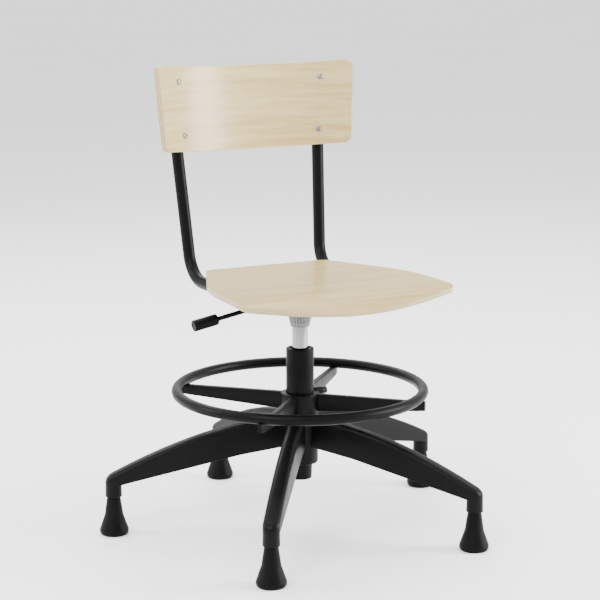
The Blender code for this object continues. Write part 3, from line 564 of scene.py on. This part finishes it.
def leg_section(reach, half, bottom, top):
    """Rounded above, with a small radius below, so that light runs along the leg's shoulders."""
    upper = min(LEG_EDGE_RADIUS, half * 0.85, (top - bottom) * 0.45)
    lower = min(LEG_UNDER_RADIUS, half * 0.3)
    return blade_section(reach, half, bottom, top, lower, upper, 6)


def leg_back(reach):
    """The leg's top line, which bends down round the nose into the socket."""
    start = FOOT_CIRCLE - NOSE_START
    if reach <= start:
        return leg_top(reach)
    share = min(1.0, (reach - start) / (NOSE_START + NOSE_REACH))
    slope = (leg_top(start) - leg_top(start - SLOPE_STEP)) / SLOPE_STEP
    level = leg_top(start) + slope * (reach - start) * (1 - share)
    return level - (leg_top(start) - NOSE_END_HEIGHT) * (1 - math.sqrt(1 - share * share))


def leg_loops():
    """Sections from the hub out to the foot, then round the nose."""
    loops = []
    tip = leg_under(LEG_TIP)
    for step in range(LEG_STEPS + 1):
        share = step / LEG_STEPS
        reach = LEG_START + (FOOT_CIRCLE - LEG_START) * share
        half = LEG_ROOT_HALF_WIDTH + (LEG_HALF_WIDTH - LEG_ROOT_HALF_WIDTH) * share
        loops.append(leg_section(reach, half, max(leg_under(reach), tip), leg_back(reach)))
    for step in range(1, NOSE_STEPS + 1):
        turn = NOSE_TURN * step / NOSE_STEPS
        reach = FOOT_CIRCLE + LEG_HALF_WIDTH * math.sin(turn)
        loops.append(leg_section(reach, LEG_HALF_WIDTH * math.cos(turn), tip, leg_back(reach)))
    return loops


def base_star():
    """The five-legged base: hub, legs and sockets joined, then bored for the column's tapered foot."""
    bm = bmesh.new()
    spun(bm, [(0, HUB_BOTTOM), (HUB_RADIUS, HUB_BOTTOM, 0.003), (HUB_RADIUS, HUB_TOP, 0.003), (0, HUB_TOP)],
         TO_AXIS, 96)
    star = piece("base_casting", bm, [NYLON], "base", ["base_star"])
    top = leg_under(LEG_TIP) + SOCKET_RISE
    socket = [(0, SOCKET_BOTTOM), (SOCKET_RADIUS + SOCKET_FLARE, SOCKET_BOTTOM, 0.0012),
              (SOCKET_RADIUS, top), (0, top)]
    extras = []
    for number, angle in enumerate(FOOT_ANGLES, 1):
        bm = bmesh.new()
        skin(bm, [[around(angle) @ p for p in loop] for loop in leg_loops()])
        extras.append(solid(f"leg_{number}", bm))
        place = foot_place(angle) @ Matrix.Rotation(SOCKET_TWIST, 4, "Z")
        extras.append(scratch_spun(f"socket_{number}", socket, place, 64))
    combine(star, extras, "UNION")
    column = half_size("column_tube").x
    bore = scratch_spun("bore", [(0, BORE_FLOOR), (column - BORE_TAPER, BORE_FLOOR),
                                 (column + CLEARANCE, TAPER_TOP), (column + CLEARANCE, HUB_TOP + OVERRUN),
                                 (0, HUB_TOP + OVERRUN)], TO_AXIS, 96)
    combine(star, [bore], "DIFFERENCE")
    reshade(star, 32)


def glides():
    """Bell glides: a slender cone, a break at mid height, a wider cone and a soft rim."""
    low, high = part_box("foot_1")
    rim = (high.x - low.x) / 2
    profile = [(0, 0), (rim - 0.0030, 0, 0.0012), (rim - 0.0004, 0.0036, 0.0018), (rim, 0.0086, 0.0020),
               (*GLIDE_BREAK, 0.0100), (GLIDE_NECK, high.z, 0.0008), (STUD_BORE, high.z),
               (STUD_BORE, STUD_BORE_TOP), (0, STUD_BORE_TOP)]
    for number, angle in enumerate(FOOT_ANGLES, 1):
        lathe(f"bell_glide_{number}", profile, GLIDE, "base", [f"foot_{number}"], foot_place(angle))


# ---- column and gas lift
COLUMN_FOOT = 0.0213
COLUMN_BORE = 0.023
COLUMN_LOW_BORE = 0.019
CLIP_BORE = 0.015
BORE_STEP = (0.112, 0.130)  # heights between which the bore narrows
COLUMN_FLOOR = 0.090
BUSH_RADIUS = 0.0227
BUSH_FIT = 0.00035
CYLINDER_BORE = 0.012
CYLINDER_END = 0.009
BUTTON_HOLE = 0.0034
FLUTES = 24
POINTS_PER_FLUTE = 8
FLUTE_DEPTH = 0.0013
FLUTE_EASE = 7  # a flute reaches its depth in one seventh of its length
COLLAR_BOTTOM = 0.0172
COLLAR_TOP = 0.0225
COLLAR_LIP = 0.0178
COLLAR_STEPS = 10


def column_and_lift():
    """The outer column with its tapered foot, the bush in its mouth, the chromed cylinder and the collar."""
    column = half_size("column_tube").x
    low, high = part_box("column_tube")
    lathe("outer_column", [(CLIP_BORE, low.z), (COLUMN_FOOT, low.z, 0.0012), (column, TAPER_TOP),
                           (column, high.z, 0.0016), (COLUMN_BORE + 0.0002, high.z, 0.0005),
                           (COLUMN_BORE, BORE_STEP[1]), (COLUMN_LOW_BORE, BORE_STEP[0]),
                           (COLUMN_LOW_BORE, COLUMN_FLOOR), (CLIP_BORE, COLUMN_FLOOR)],
          POWDER, "base", ["column_tube"], segments=96, closed=True)
    cylinder = half_size("gas_cylinder").x
    fit = cylinder + BUSH_FIT
    low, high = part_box("guide_bush")
    lathe("column_bush", [(fit, low.z), (BUSH_RADIUS, low.z), (BUSH_RADIUS, high.z, 0.0004),
                          (0.0185, high.z, 0.0006), (0.0178, high.z - 0.0012),
                          (cylinder + 0.0014, high.z - 0.0014, 0.0004), (fit, high.z - 0.003)],
          PLASTIC, "base", ["guide_bush"], segments=96, closed=True)
    low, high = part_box("gas_cylinder")
    lathe("chrome_cylinder", [(CYLINDER_BORE, low.z), (cylinder, low.z, 0.0008), (cylinder, high.z, 0.0010),
                              (BUTTON_HOLE, high.z), (BUTTON_HOLE, high.z - CYLINDER_END),
                              (CYLINDER_BORE, high.z - CYLINDER_END)],
          CHROME, "seat_unit", ["gas_cylinder"], segments=128, closed=True)
    collar(cylinder)


def collar(cylinder):
    """A conical boss with rounded flutes, a plain rim above them and a chamfered lip below."""
    low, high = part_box("fluted_collar")
    bore = cylinder + 0.0004
    count = FLUTES * POINTS_PER_FLUTE

    def loop(height, radius, depth=0.0):
        points = []
        for i in range(count):
            turn = 2 * math.pi * i / count
            groove = depth * max(0.0, -math.cos(FLUTES * turn)) ** 0.8
            points.append(Vector((math.cos(turn), math.sin(turn), 0)) * (radius - groove)
                          + Vector((0, 0, height)) + AXIS)
        return points

    loops = [loop(low.z, bore), loop(low.z, COLLAR_LIP - 0.0008), loop(low.z + 0.0006, COLLAR_LIP),
             loop(low.z + 0.0016, COLLAR_LIP), loop(low.z + 0.0021, COLLAR_BOTTOM)]
    start, end = low.z + 0.0026, low.z + 0.0225
    for k in range(COLLAR_STEPS + 1):
        share = k / COLLAR_STEPS
        depth = FLUTE_DEPTH * min(1.0, FLUTE_EASE * share, FLUTE_EASE * (1 - share))
        radius = COLLAR_BOTTOM + (COLLAR_TOP - COLLAR_BOTTOM) * share
        loops.append(loop(start + (end - start) * share, radius, depth))
    loops += [loop(end + 0.0008, COLLAR_TOP), loop(high.z - 0.0005, COLLAR_TOP),
              loop(high.z, COLLAR_TOP - 0.0005), loop(high.z, bore)]
    bm = bmesh.new()
    skin(bm, loops, ring=True)
    piece("collar", bm, [BRUSHED], "seat_unit", ["fluted_collar"], 28)


# ---- foot ring
RING_RADIUS = 0.2205
RING_TUBE = 0.0095
RING_HEIGHT = 0.2506
SPIDER_HUB_RADIUS = 0.035
SPIDER_TOP = 0.2460
ARM_HALF = 0.00525
ARM_START = 0.027
ARM_END = 0.2305
ARM_TOP = 0.2450
ARM_TOP_FALL = 0.0005
ARM_BOTTOM = 0.2130
ARM_BOTTOM_RISE = 0.0150
ARM_EDGE = 0.0013
ARM_EASE = 0.0022
ARM_THINNING = 0.0012
ARM_STEPS = 18
BOSS_RADIUS = 0.0068
BOSS_SPAN = (0.030, 0.044)
# A fixing screw's pocket, wide below for its head, then narrow for its shank.
POCKET = [(0, 0.205), (0.0043, 0.205), (0.0043, 0.2325), (0.0023, 0.2325), (0.0023, 0.252), (0, 0.252)]
CLAMP_SPAN = (0.0257, 0.0530)
CLAMP_SIDES = 72
KNURL = 0.00022


def ring():
    """The round foot ring."""
    bm = bmesh.new()
    sides = 28
    steps = 220
    loops = []
    for i in range(steps):
        turn = around(360 * i / steps)
        loops.append([turn @ Vector((RING_RADIUS + RING_TUBE * math.cos(2 * math.pi * k / sides), 0,
                                     RING_HEIGHT + RING_TUBE * math.sin(2 * math.pi * k / sides)))
                      for k in range(sides)])
    skin(bm, loops, ring=True)
    piece("foot_rail", bm, [POWDER], "ring_carriage", ["foot_ring"], 60)


def arm_loops():
    """An upright blade with rounded edges: deep at the hub, shallow where it carries the ring."""
    loops = []
    for i in range(ARM_STEPS + 1):
        share = i / ARM_STEPS
        reach = ARM_START + (ARM_END - ARM_START) * share
        top = ARM_TOP - ARM_TOP_FALL * share
        bottom = ARM_BOTTOM + ARM_BOTTOM_RISE * share
        end = max(0.0, (reach - (ARM_END - ARM_EASE)) / ARM_EASE)
        half = ARM_HALF - ARM_THINNING * end
        loops.append(blade_section(reach, half, bottom, top, ARM_EDGE, ARM_EDGE, 3))
    return loops


def spider():
    """The ring's four-armed hub, with a boss for the clamp screw and a pocket for each fixing screw."""
    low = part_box("ring_spider")[0]
    bore = half_size("column_tube").x + CLEARANCE
    bm = bmesh.new()
    spun(bm, [(bore, low.z), (SPIDER_HUB_RADIUS, low.z, 0.002), (SPIDER_HUB_RADIUS, SPIDER_TOP, 0.0022),
              (bore, SPIDER_TOP)], TO_AXIS, 96, closed=True)
    hub = piece("rail_spider", bm, [NYLON], "ring_carriage", ["ring_spider"])
    extras = []
    for number, angle in enumerate(SPIDER_ANGLES, 1):
        bm = bmesh.new()
        skin(bm, [[around(angle) @ p for p in loop] for loop in arm_loops()])
        extras.append(solid(f"arm_{number}", bm))
    clamp = middle("clamp_screw")
    along_x = Matrix.Translation((0, clamp.y, clamp.z)) @ Matrix.Rotation(math.pi / 2, 4, "Y")
    inner, outer = BOSS_SPAN
    extras.append(scratch_spun("boss", [(0, inner), (BOSS_RADIUS, inner), (BOSS_RADIUS, outer, 0.0008),
                                        (0, outer)], along_x, 40))
    combine(hub, extras, "UNION")
    pockets = []
    for number, angle in enumerate(SPIDER_ANGLES, 1):
        place = around(angle) @ Matrix.Translation((RING_RADIUS, 0, 0))
        place = place @ Matrix.Rotation(POCKET_TWIST, 4, "Z")
        pockets.append(scratch_spun(f"screw_{number}", POCKET, place, 32))
    combine(hub, pockets, "DIFFERENCE")
    reshade(hub, 32)
    clamp_handle(along_x)


def clamp_handle(along_x):
    """The clamp screw: its shank, and a cap head knurled round its rim with a hexagon socket."""
    tip, end = CLAMP_SPAN
    profile = rounded([(0, tip), (0.0037, tip, 0.0004), (0.0039, 0.0443), (0.0065, 0.0443, 0.0004),
                       (0.0065, end, 0.0006), (0.0032, end)])
    loops = []
    for radius, height in profile[1:]:
        knurl = KNURL if radius > 0.0060 and 0.0450 < height < end - 0.0008 else 0
        loops.append(loop_round(along_x, height, [radius - knurl * (i % 2) for i in range(CLAMP_SIDES)]))
    for radius, height in ((0.0026, end), (0.0026, 0.0492), (0.0004, 0.0488)):
        loops.append(loop_round(along_x, height, hexagon(radius, CLAMP_SIDES)))
    bm = bmesh.new()
    skin(bm, loops)
    piece("rail_clamp_screw", bm, [OXIDE], "ring_carriage", ["clamp_screw"])


# ---- lever and cross bars
LEVER_HEIGHT = 0.424
LEVER_DROOP = math.radians(10.3)
LEVER_PIVOT = 0.0285
LEVER_ROD = 0.004
LEVER_BLOCK = (-0.008, 0.046)  # the block's ends and the grip's, out from the column's axis
LEVER_GRIP = (0.1662, 0.2117)
LEVER_BLOCK_HALF = 0.0065
PIN_HOLE = 0.0033
ROD_INSET = 0.010
GRIP_RADIUS = 0.010
BAR_EDGE = 0.0014
SEAT_SCREW_HOLE = 0.0026
SEAT_SCREW_SPAN = (0.43, 0.46)


def lever_place():
    """A frame at the lever's pivot, its X pointing out along the lever."""
    pivot = AXIS + Vector((-LEVER_PIVOT * math.cos(LEVER_DROOP), 0,
                           LEVER_HEIGHT - LEVER_PIVOT * math.sin(LEVER_DROOP)))
    return Matrix.Translation(pivot) @ Matrix.Rotation(math.pi, 4, "Z") @ Matrix.Rotation(LEVER_DROOP, 4, "Y")


def lever():
    """The pivoted block, the rod and the grip, measured from the pivot out along the lever."""
    place = lever_place()
    along = place @ Matrix.Rotation(math.pi / 2, 4, "Y")
    across = place @ Matrix.Rotation(math.pi / 2, 4, "X")
    start, end, grip_start, grip_end = (x - LEVER_PIVOT for x in (*LEVER_BLOCK, *LEVER_GRIP))
    half = LEVER_BLOCK_HALF
    hole = LEVER_ROD + CLEARANCE
    bm = bmesh.new()
    rounded_box(bm, (start, -half, -half), (end, half, half), 0.0009, place)
    block = piece("height_lever_block", bm, [POWDER], "height_lever", ["lever_block"])
    combine(block, [drill("pin_hole", PIN_HOLE, -OVERRUN, OVERRUN, across),
                    drill("rod_hole", hole, end - 0.0103, end + OVERRUN, along)], "DIFFERENCE")
    reshade(block, 30)
    rod_end = grip_end - 0.008
    lathe("height_lever_rod", [(0, end - ROD_INSET), (LEVER_ROD, end - ROD_INSET, 0.0004),
                               (LEVER_ROD, rod_end, 0.0004), (0, rod_end)],
          POWDER, "height_lever", ["lever_rod"], along, 40)
    profile = [(0, rod_end + CLEARANCE), (hole, rod_end + CLEARANCE), (hole, grip_start),
               (GRIP_RADIUS - 0.0004, grip_start, 0.0012), (GRIP_RADIUS, grip_start + 0.006),
               (GRIP_RADIUS, grip_end, 0.0014), (GRIP_RADIUS * 0.55, grip_end, 0.0003),
               (GRIP_RADIUS * 0.50, grip_end - 0.0004), (0, grip_end - 0.0004)]
    lathe("height_lever_grip", profile, PLASTIC, "height_lever", ["lever_grip"], along, 64)


def cross_bars():
    """The two bars under the seat, each drilled for its seat screws."""
    for end in ("front", "rear"):
        low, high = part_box(f"cross_bar_{end}")
        bm = bmesh.new()
        rounded_box(bm, low, high, BAR_EDGE)
        bar = piece(f"{end}_bar", bm, [POWDER], "seat_unit", [f"cross_bar_{end}"])
        cutters = []
        for number in (1, 2):
            at = middle(f"seat_screw_{end}_{number}")
            place = Matrix.Translation((at.x, at.y, 0))
            cutters.append(drill("screw_hole", SEAT_SCREW_HOLE, *SEAT_SCREW_SPAN, place))
        combine(bar, cutters, "DIFFERENCE")
        reshade(bar, 30)


# ---- boards
SEAT_TOP = 0.457
SEAT_PLY = 0.010
SEAT_ROLL_START = -0.152
SEAT_ROLL_RADIUS = 0.133
SEAT_CORNERS = [(0.1220, 0.132, 0.026), (0.1995, -0.0376, 0.300), (0.2054, -0.1903, 0.0195)]
SEAT_FRONT = (0.0, -0.2641, 0.538)
SEAT_ARC_STEP = 1.6  # degrees
SEAT_MIDDLE = Vector((0, -0.045))
SEAT_RINGS = 16
EDGE_ROUND = 0.0011
EDGE_STEPS = 6
VENEERED_ROWS = 3  # rows of the rounded edge that keep the face's finish
PLY_STEPS = 16
SAME_POINT = 1e-4


def seat_outline():
    """Points round the seat, whose corners are arcs; points that fall together are kept once."""
    corners = SEAT_CORNERS + [SEAT_FRONT] + [(-x, y, r) for x, y, r in reversed(SEAT_CORNERS)]
    points = []
    for i, corner in enumerate(corners):
        before, here, after = (Vector(corners[j % len(corners)][:2]) for j in (i - 1, i, i + 1))
        turn = abs(math.degrees(turn_at(before, here, after)))
        for point in corner_arc(before, here, after, corner[2], max(6, round(turn / SEAT_ARC_STEP))):
            if not points or (point - points[-1]).length > SAME_POINT:
                points.append(point)
    return points


def seat_point(point, depth):
    """Bends the seat: flat behind, rolling down in front."""
    forward = max(0.0, SEAT_ROLL_START - point.y)
    drop = forward ** 2 / (2 * SEAT_ROLL_RADIUS)
    slope = math.atan(forward / SEAT_ROLL_RADIUS)
    return AXIS + Vector((point.x, point.y + depth * math.sin(slope),
                          SEAT_TOP - drop - depth * math.cos(slope)))


def rim_profile(thickness):
    """(inset, depth) down a board's edge: rounded above and below, and stepped so the plies are even."""
    above = []
    for k in range(EDGE_STEPS + 1):
        turn = math.radians(90 * k / EDGE_STEPS)
        above.append((EDGE_ROUND * (1 - math.sin(turn)), EDGE_ROUND * (1 - math.cos(turn))))
    inner = thickness - 2 * EDGE_ROUND
    between = [(0.0, EDGE_ROUND + inner * k / PLY_STEPS) for k in range(1, PLY_STEPS)]
    below = [(inset, thickness - depth) for inset, depth in reversed(above)]
    return above + between + below


def outward(outline):
    """Each outline point's direction out of the board, in plan."""
    count = len(outline)
    result = []
    for i in range(count):
        along = outline[(i + 1) % count] - outline[i - 1]
        result.append(Vector((along.y, -along.x)).normalized())
    centre = sum(outline, Vector((0, 0))) / count
    if result[0].dot(outline[0] - centre) < 0:
        result = [-r for r in result]
    return result


def board(name, outline, bend, thickness, rings, centre, finish, node):
    """A bent board whose cut edge shows its plies; bend(point, depth) gives each point's place."""
    out = outward(outline)
    shares = [k / rings for k in range(1, rings)]
    rim = rim_profile(thickness)
    layers = [(share, EDGE_ROUND, 0.0) for share in shares]
    layers += [(1.0, inset, depth) for inset, depth in rim]
    layers += [(share, EDGE_ROUND, thickness) for share in reversed(shares)]
    loops = [[bend(centre + (p - n * inset - centre) * share, depth) for p, n in zip(outline, out)]
             for share, inset, depth in layers]
    bm = bmesh.new()
    bm.verts.layers.float.new("ply_depth")
    rows = skin(bm, loops)
    depths = [depth / thickness for _, _, depth in layers]
    mark_plies(bm, rows, depths, len(shares), len(shares) + len(rim))
    piece(name, bm, [finish, PLY_EDGE], "seat_unit", [node], 40)


def mark_plies(bm, rows, depths, first_edge, last_edge):
    """Stores how deep each point lies, and gives the rim's faces the edge finish."""
    layer = bm.verts.layers.float["ply_depth"]
    edge_rows = set()
    for index, (row, depth) in enumerate(zip(rows, depths)):
        for v in row:
            v[layer] = depth
        if first_edge + VENEERED_ROWS <= index < last_edge - VENEERED_ROWS:
            edge_rows.update(row)
    for face in bm.faces:
        if all(v in edge_rows for v in face.verts):
            face.material_index = 1


BACK_PLY = 0.011
BACK_CURVE = 0.306
BACK_CENTRE = (0.2218, 0.7389)
BACK_HEIGHT = 0.154
BACK_TOP_HALF = 0.1967
BACK_BOTTOM_HALF = 0.1876
BACK_CORNER = 0.013
BACK_CORNER_STEPS = 12
BACK_LONG_PIECES = 60
BACK_SHORT_PIECES = 14
BACK_RINGS = 14
RECLINE = math.radians(7.9)


def back_point(across, up, depth):
    """Bends the back round an upright curve and leans it; depth runs backwards from its front face."""
    turn = math.asin(across / BACK_CURVE)
    radius = BACK_CURVE + depth
    behind = radius * math.cos(turn) - BACK_CURVE
    return AXIS + Vector((radius * math.sin(turn),
                          BACK_CENTRE[0] + behind * math.cos(RECLINE) + up * math.sin(RECLINE),
                          BACK_CENTRE[1] - behind * math.sin(RECLINE) + up * math.cos(RECLINE)))


def back_outline():
    """The back's outline on its front face, as (across, up), anticlockwise with round corners."""
    limit = BACK_HEIGHT / 2
    corners = [Vector((BACK_TOP_HALF, limit)), Vector((-BACK_TOP_HALF, limit)),
               Vector((-BACK_BOTTOM_HALF, -limit)), Vector((BACK_BOTTOM_HALF, -limit))]
    points = []
    for i in range(4):
        before, here, after = (corners[j % 4] for j in (i - 1, i, i + 1))
        points += corner_arc(before, here, after, BACK_CORNER, BACK_CORNER_STEPS)
        leave = (after - here).normalized()
        inset = BACK_CORNER * math.tan(abs(turn_at(before, here, after)) / 2)
        start, finish = here + leave * inset, after - leave * inset
        pieces = BACK_LONG_PIECES if i in (0, 2) else BACK_SHORT_PIECES
        points += [start.lerp(finish, k / pieces) for k in range(1, pieces)]
    return points


def boards():
    board("seat_board", seat_outline(), seat_point, SEAT_PLY, SEAT_RINGS, SEAT_MIDDLE, SEAT_VENEER, "seat")
    board("back_board", back_outline(), lambda point, depth: back_point(point.x, point.y, depth),
          BACK_PLY, BACK_RINGS, Vector((0, 0)), BACK_VENEER, "backrest")


# ---- back tubes and bolts
TUBE_RADIUS = 0.011
TUBE_WALL = 0.0018
TUBE_BEND = 0.053
TUBE_RUN_HEIGHT = 0.4357
TUBE_RUN_FRONT = -0.125
TUBE_FOOT = (0.1325, 0.1695)
TUBE_TOP = 0.806
TUBE_SPLAY = 0.052
TUBE_LEAN = 0.139
BOLT_ROWS = [(0.0484, 0.1445), (-0.0484, 0.1370)]
BOLT_HEAD = 0.005
BOLT_RADIUS = 0.0025
BOLT_HOLE = 0.0031
BOLT_SIDES = 48
HEAD_BASE = 0.0005
HEAD_RIM = 0.0012
HEAD_RISE = 0.0024
HEAD_FLAT = 0.0018
NUT_GAP = 0.0012
NUT_HOLE = 0.0028
NUT_SIDE = 0.0046
NUT_DOME = 0.0034
BOLT_REACH = 0.0045
SPACER_RADIUS = 0.0065
RUN_STEPS = 10
BEND_STEPS = 28
UPRIGHT_STEPS = 14


def tube_line(height):
    """The middle of the upright tube at a height, on the side where x is positive."""
    rise = height - TUBE_RUN_HEIGHT
    return Vector((TUBE_FOOT[0] + TUBE_SPLAY * rise, TUBE_FOOT[1] + TUBE_LEAN * rise, height))


def tube_path():
    """The run under the seat, the bend behind it and the leaning upright."""
    corner = tube_line(TUBE_RUN_HEIGHT)
    back = Vector((0, 1, 0))
    up = (tube_line(1) - tube_line(0)).normalized()
    turn = back.angle(up)
    inset = TUBE_BEND * math.tan(turn / 2)
    axis = back.cross(up).normalized()
    centre = corner - back * inset + axis.cross(back) * TUBE_BEND
    spoke = corner - back * inset - centre
    front = Vector((corner.x, TUBE_RUN_FRONT, corner.z))
    start = centre + spoke
    points = [front.lerp(start, k / RUN_STEPS) for k in range(RUN_STEPS)]
    points += [centre + Matrix.Rotation(turn * k / BEND_STEPS, 3, axis) @ spoke
               for k in range(BEND_STEPS + 1)]
    last = points[-1]
    top = tube_line(TUBE_TOP)
    points += [last.lerp(top, k / UPRIGHT_STEPS) for k in range(1, UPRIGHT_STEPS + 1)]
    return points


def back_tubes():
    """Each bent tube, drilled for its two bolts, and the plug in its top."""
    for side, name in ((1, "right"), (-1, "left")):
        path = [AXIS + Vector((side * p.x, p.y, p.z)) for p in tube_path()]
        bm = bmesh.new()
        swept_tube(bm, path, TUBE_RADIUS, TUBE_RADIUS - TUBE_WALL, 40)
        tube = piece(f"upright_{name}", bm, [POWDER], "seat_unit", [f"back_tube_{name}"], 40)
        combine(tube, [drill(f"bolt_hole_{number}", BOLT_HOLE, -0.05, OVERRUN, turn, 24)
                       for number, turn in enumerate(bolt_places(), 1) if turn.translation.x * side > 0],
                "DIFFERENCE")
        reshade(tube, 40)
        place = Matrix.Translation(path[-1]) @ facing(path[-1] - path[-2], "X")
        plug = [(0, -0.012), (0.0085, -0.012, 0.0006), (0.0085, 0.0003), (0.0107, 0.0003),
                (0.0104, 0.0026, 0.0014), (0, 0.0029)]
        lathe(f"upright_cap_{name}", plug, PLASTIC, "seat_unit", [f"back_tube_{name}_plug"],
              place, 48)


def bolt_places():
    """A frame at each bolt, its +Z pointing forwards out of the back."""
    places = []
    for up, across in BOLT_ROWS:
        for side in (-1, 1):
            front = back_point(side * across, up, 0)
            away = front - back_point(side * across, up, 0.01)
            places.append(Matrix.Translation(front) @ facing(away, "Y"))
    return places


def bolts():
    """Domed socket bolts in front, cap nuts behind, and a spacer between the board and the tube."""
    for number, turn in enumerate(bolt_places(), 1):
        side = math.copysign(1, turn.translation.x)
        centre = tube_line(turn.translation.z)
        centre = AXIS + Vector((centre.x * side, centre.y, centre.z))
        tube_depth = (turn.inverted() @ centre).z
        nut_face = tube_depth - TUBE_RADIUS - NUT_GAP
        tip = nut_face - BOLT_REACH
        head = [(0.0002, tip), (BOLT_RADIUS, tip), (BOLT_RADIUS, HEAD_BASE), (BOLT_HEAD, HEAD_BASE),
                (BOLT_HEAD, HEAD_RIM)]
        for k in range(1, 9):
            rise = math.radians(11.25 * k * 0.78)
            head.append((HEAD_FLAT + (BOLT_HEAD - HEAD_FLAT) * math.cos(rise),
                         HEAD_RIM + HEAD_RISE * math.sin(rise)))
        loops = [loop_round(turn, height, [radius] * BOLT_SIDES) for radius, height in head]
        for radius, height in ((0.00165, 0.0036), (0.00160, 0.0016), (0.0003, 0.0014)):
            loops.append(loop_round(turn, height, hexagon(radius, BOLT_SIDES)))
        bm = bmesh.new()
        skin(bm, loops)
        piece(f"bolt_{number}", bm, [ZINC], "seat_unit", [f"back_bolt_{number}"], 32)
        dome = [(0, tip - CLEARANCE), (NUT_HOLE, tip - CLEARANCE), (NUT_HOLE, nut_face),
                (BOLT_HEAD, nut_face, 0.0004), (BOLT_HEAD, nut_face - NUT_SIDE)]
        for k in range(1, 8):
            rise = math.radians(12.857 * k)
            dome.append((BOLT_HEAD * math.cos(rise), nut_face - NUT_SIDE - NUT_DOME * math.sin(rise)))
        lathe(f"cap_nut_{number}", dome, ZINC, "seat_unit", [f"back_nut_{number}"], turn, 48)
        hole = BOLT_RADIUS + CLEARANCE
        rear, front = tube_depth + TUBE_RADIUS + CLEARANCE, -BACK_PLY - CLEARANCE
        lathe(f"spacer_{number}", [(hole, rear), (SPACER_RADIUS, rear, 0.0004),
                                   (SPACER_RADIUS, front, 0.0004), (hole, front)],
              PLASTIC, "seat_unit", [f"back_spacer_{number}"], turn, 48, closed=True)


# ---- pieces
base_star()
glides()
column_and_lift()
ring()
spider()
cross_bars()
lever()
boards()
back_tubes()
bolts()

SLOT_OF = {entry["node"]: entry["material_slot"] for entry in frame["record"]["subparts"]}
for name, node in NODES.items():
    if not node.hide_render:
        node.data.materials.clear()
        node.data.materials.append(SLOT_FINISH[SLOT_OF[name]])


# ---- floor, light and camera
def floor():
    """A wide, flat, pale floor."""
    bm = bmesh.new()
    bmesh.ops.create_grid(bm, x_segments=8, y_segments=8, size=30)
    mesh = bpy.data.meshes.new("floor")
    bm.to_mesh(mesh)
    bm.free()
    f = Finish("pale_floor", specular=0.2)
    soft = f.noise(0.7, detail=2.0)
    f.set(f.ramp(soft, [(0.3, (0.905, 0.905, 0.905)), (0.7, (0.925, 0.925, 0.925))]),
          f.spread(soft, 0.3, 0.7, 0.75, 0.85))
    mesh.materials.append(f.material)
    result = bpy.data.objects.new("floor", mesh)
    bpy.context.scene.collection.objects.link(result)


def soft_light(name, location, target, size, power):
    """A rectangular lamp of (width, height) metres that faces target."""
    data = bpy.data.lights.new(name, "AREA")
    data.shape = "RECTANGLE"
    data.size, data.size_y = size
    data.energy = power
    result = bpy.data.objects.new(name, data)
    bpy.context.scene.collection.objects.link(result)
    result.location = location
    result.rotation_euler = (Vector(target) - Vector(location)).to_track_quat("-Z", "Y").to_euler()


def studio():
    """An even white surround and five soft lamps."""
    world = bpy.data.worlds.new("studio")
    bpy.context.scene.world = world
    world.use_nodes = True
    background = world.node_tree.nodes["Background"]
    background.inputs["Color"].default_value = (1.0, 1.0, 1.0, 1)
    background.inputs["Strength"].default_value = 1.75
    aim = (0, 0, 0.5)
    soft_light("key", (-2.4, -1.6, 2.7), aim, (1.6, 1.6), 95)
    soft_light("left_wall", (-2.3, 1.1, 1.5), (0, 0, 0.45), (0.9, 1.8), 60)
    soft_light("right_wall", (2.2, -1.35, 1.15), (0, 0, 0.6), (1.1, 1.5), 135)
    soft_light("back", (0.6, 2.4, 2.6), aim, (2.2, 1.4), 65)
    soft_light("top", (0.6, 1.0, 3.6), (0.6, 1.0, 0), (3.6, 3.0), 140)


def camera():
    """The viewing angle: 28 degrees to the sitter's right and 11 degrees above the level."""
    data = bpy.data.cameras.new("camera")
    data.lens = 110.5
    data.sensor_width = 36
    result = bpy.data.objects.new("camera", data)
    bpy.context.scene.collection.objects.link(result)
    result.location = (-1.5079, -2.8682, 1.0366)
    result.rotation_euler = (math.radians(79.02), 0, math.radians(-28))
    bpy.context.scene.camera = result


floor()
studio()
camera()
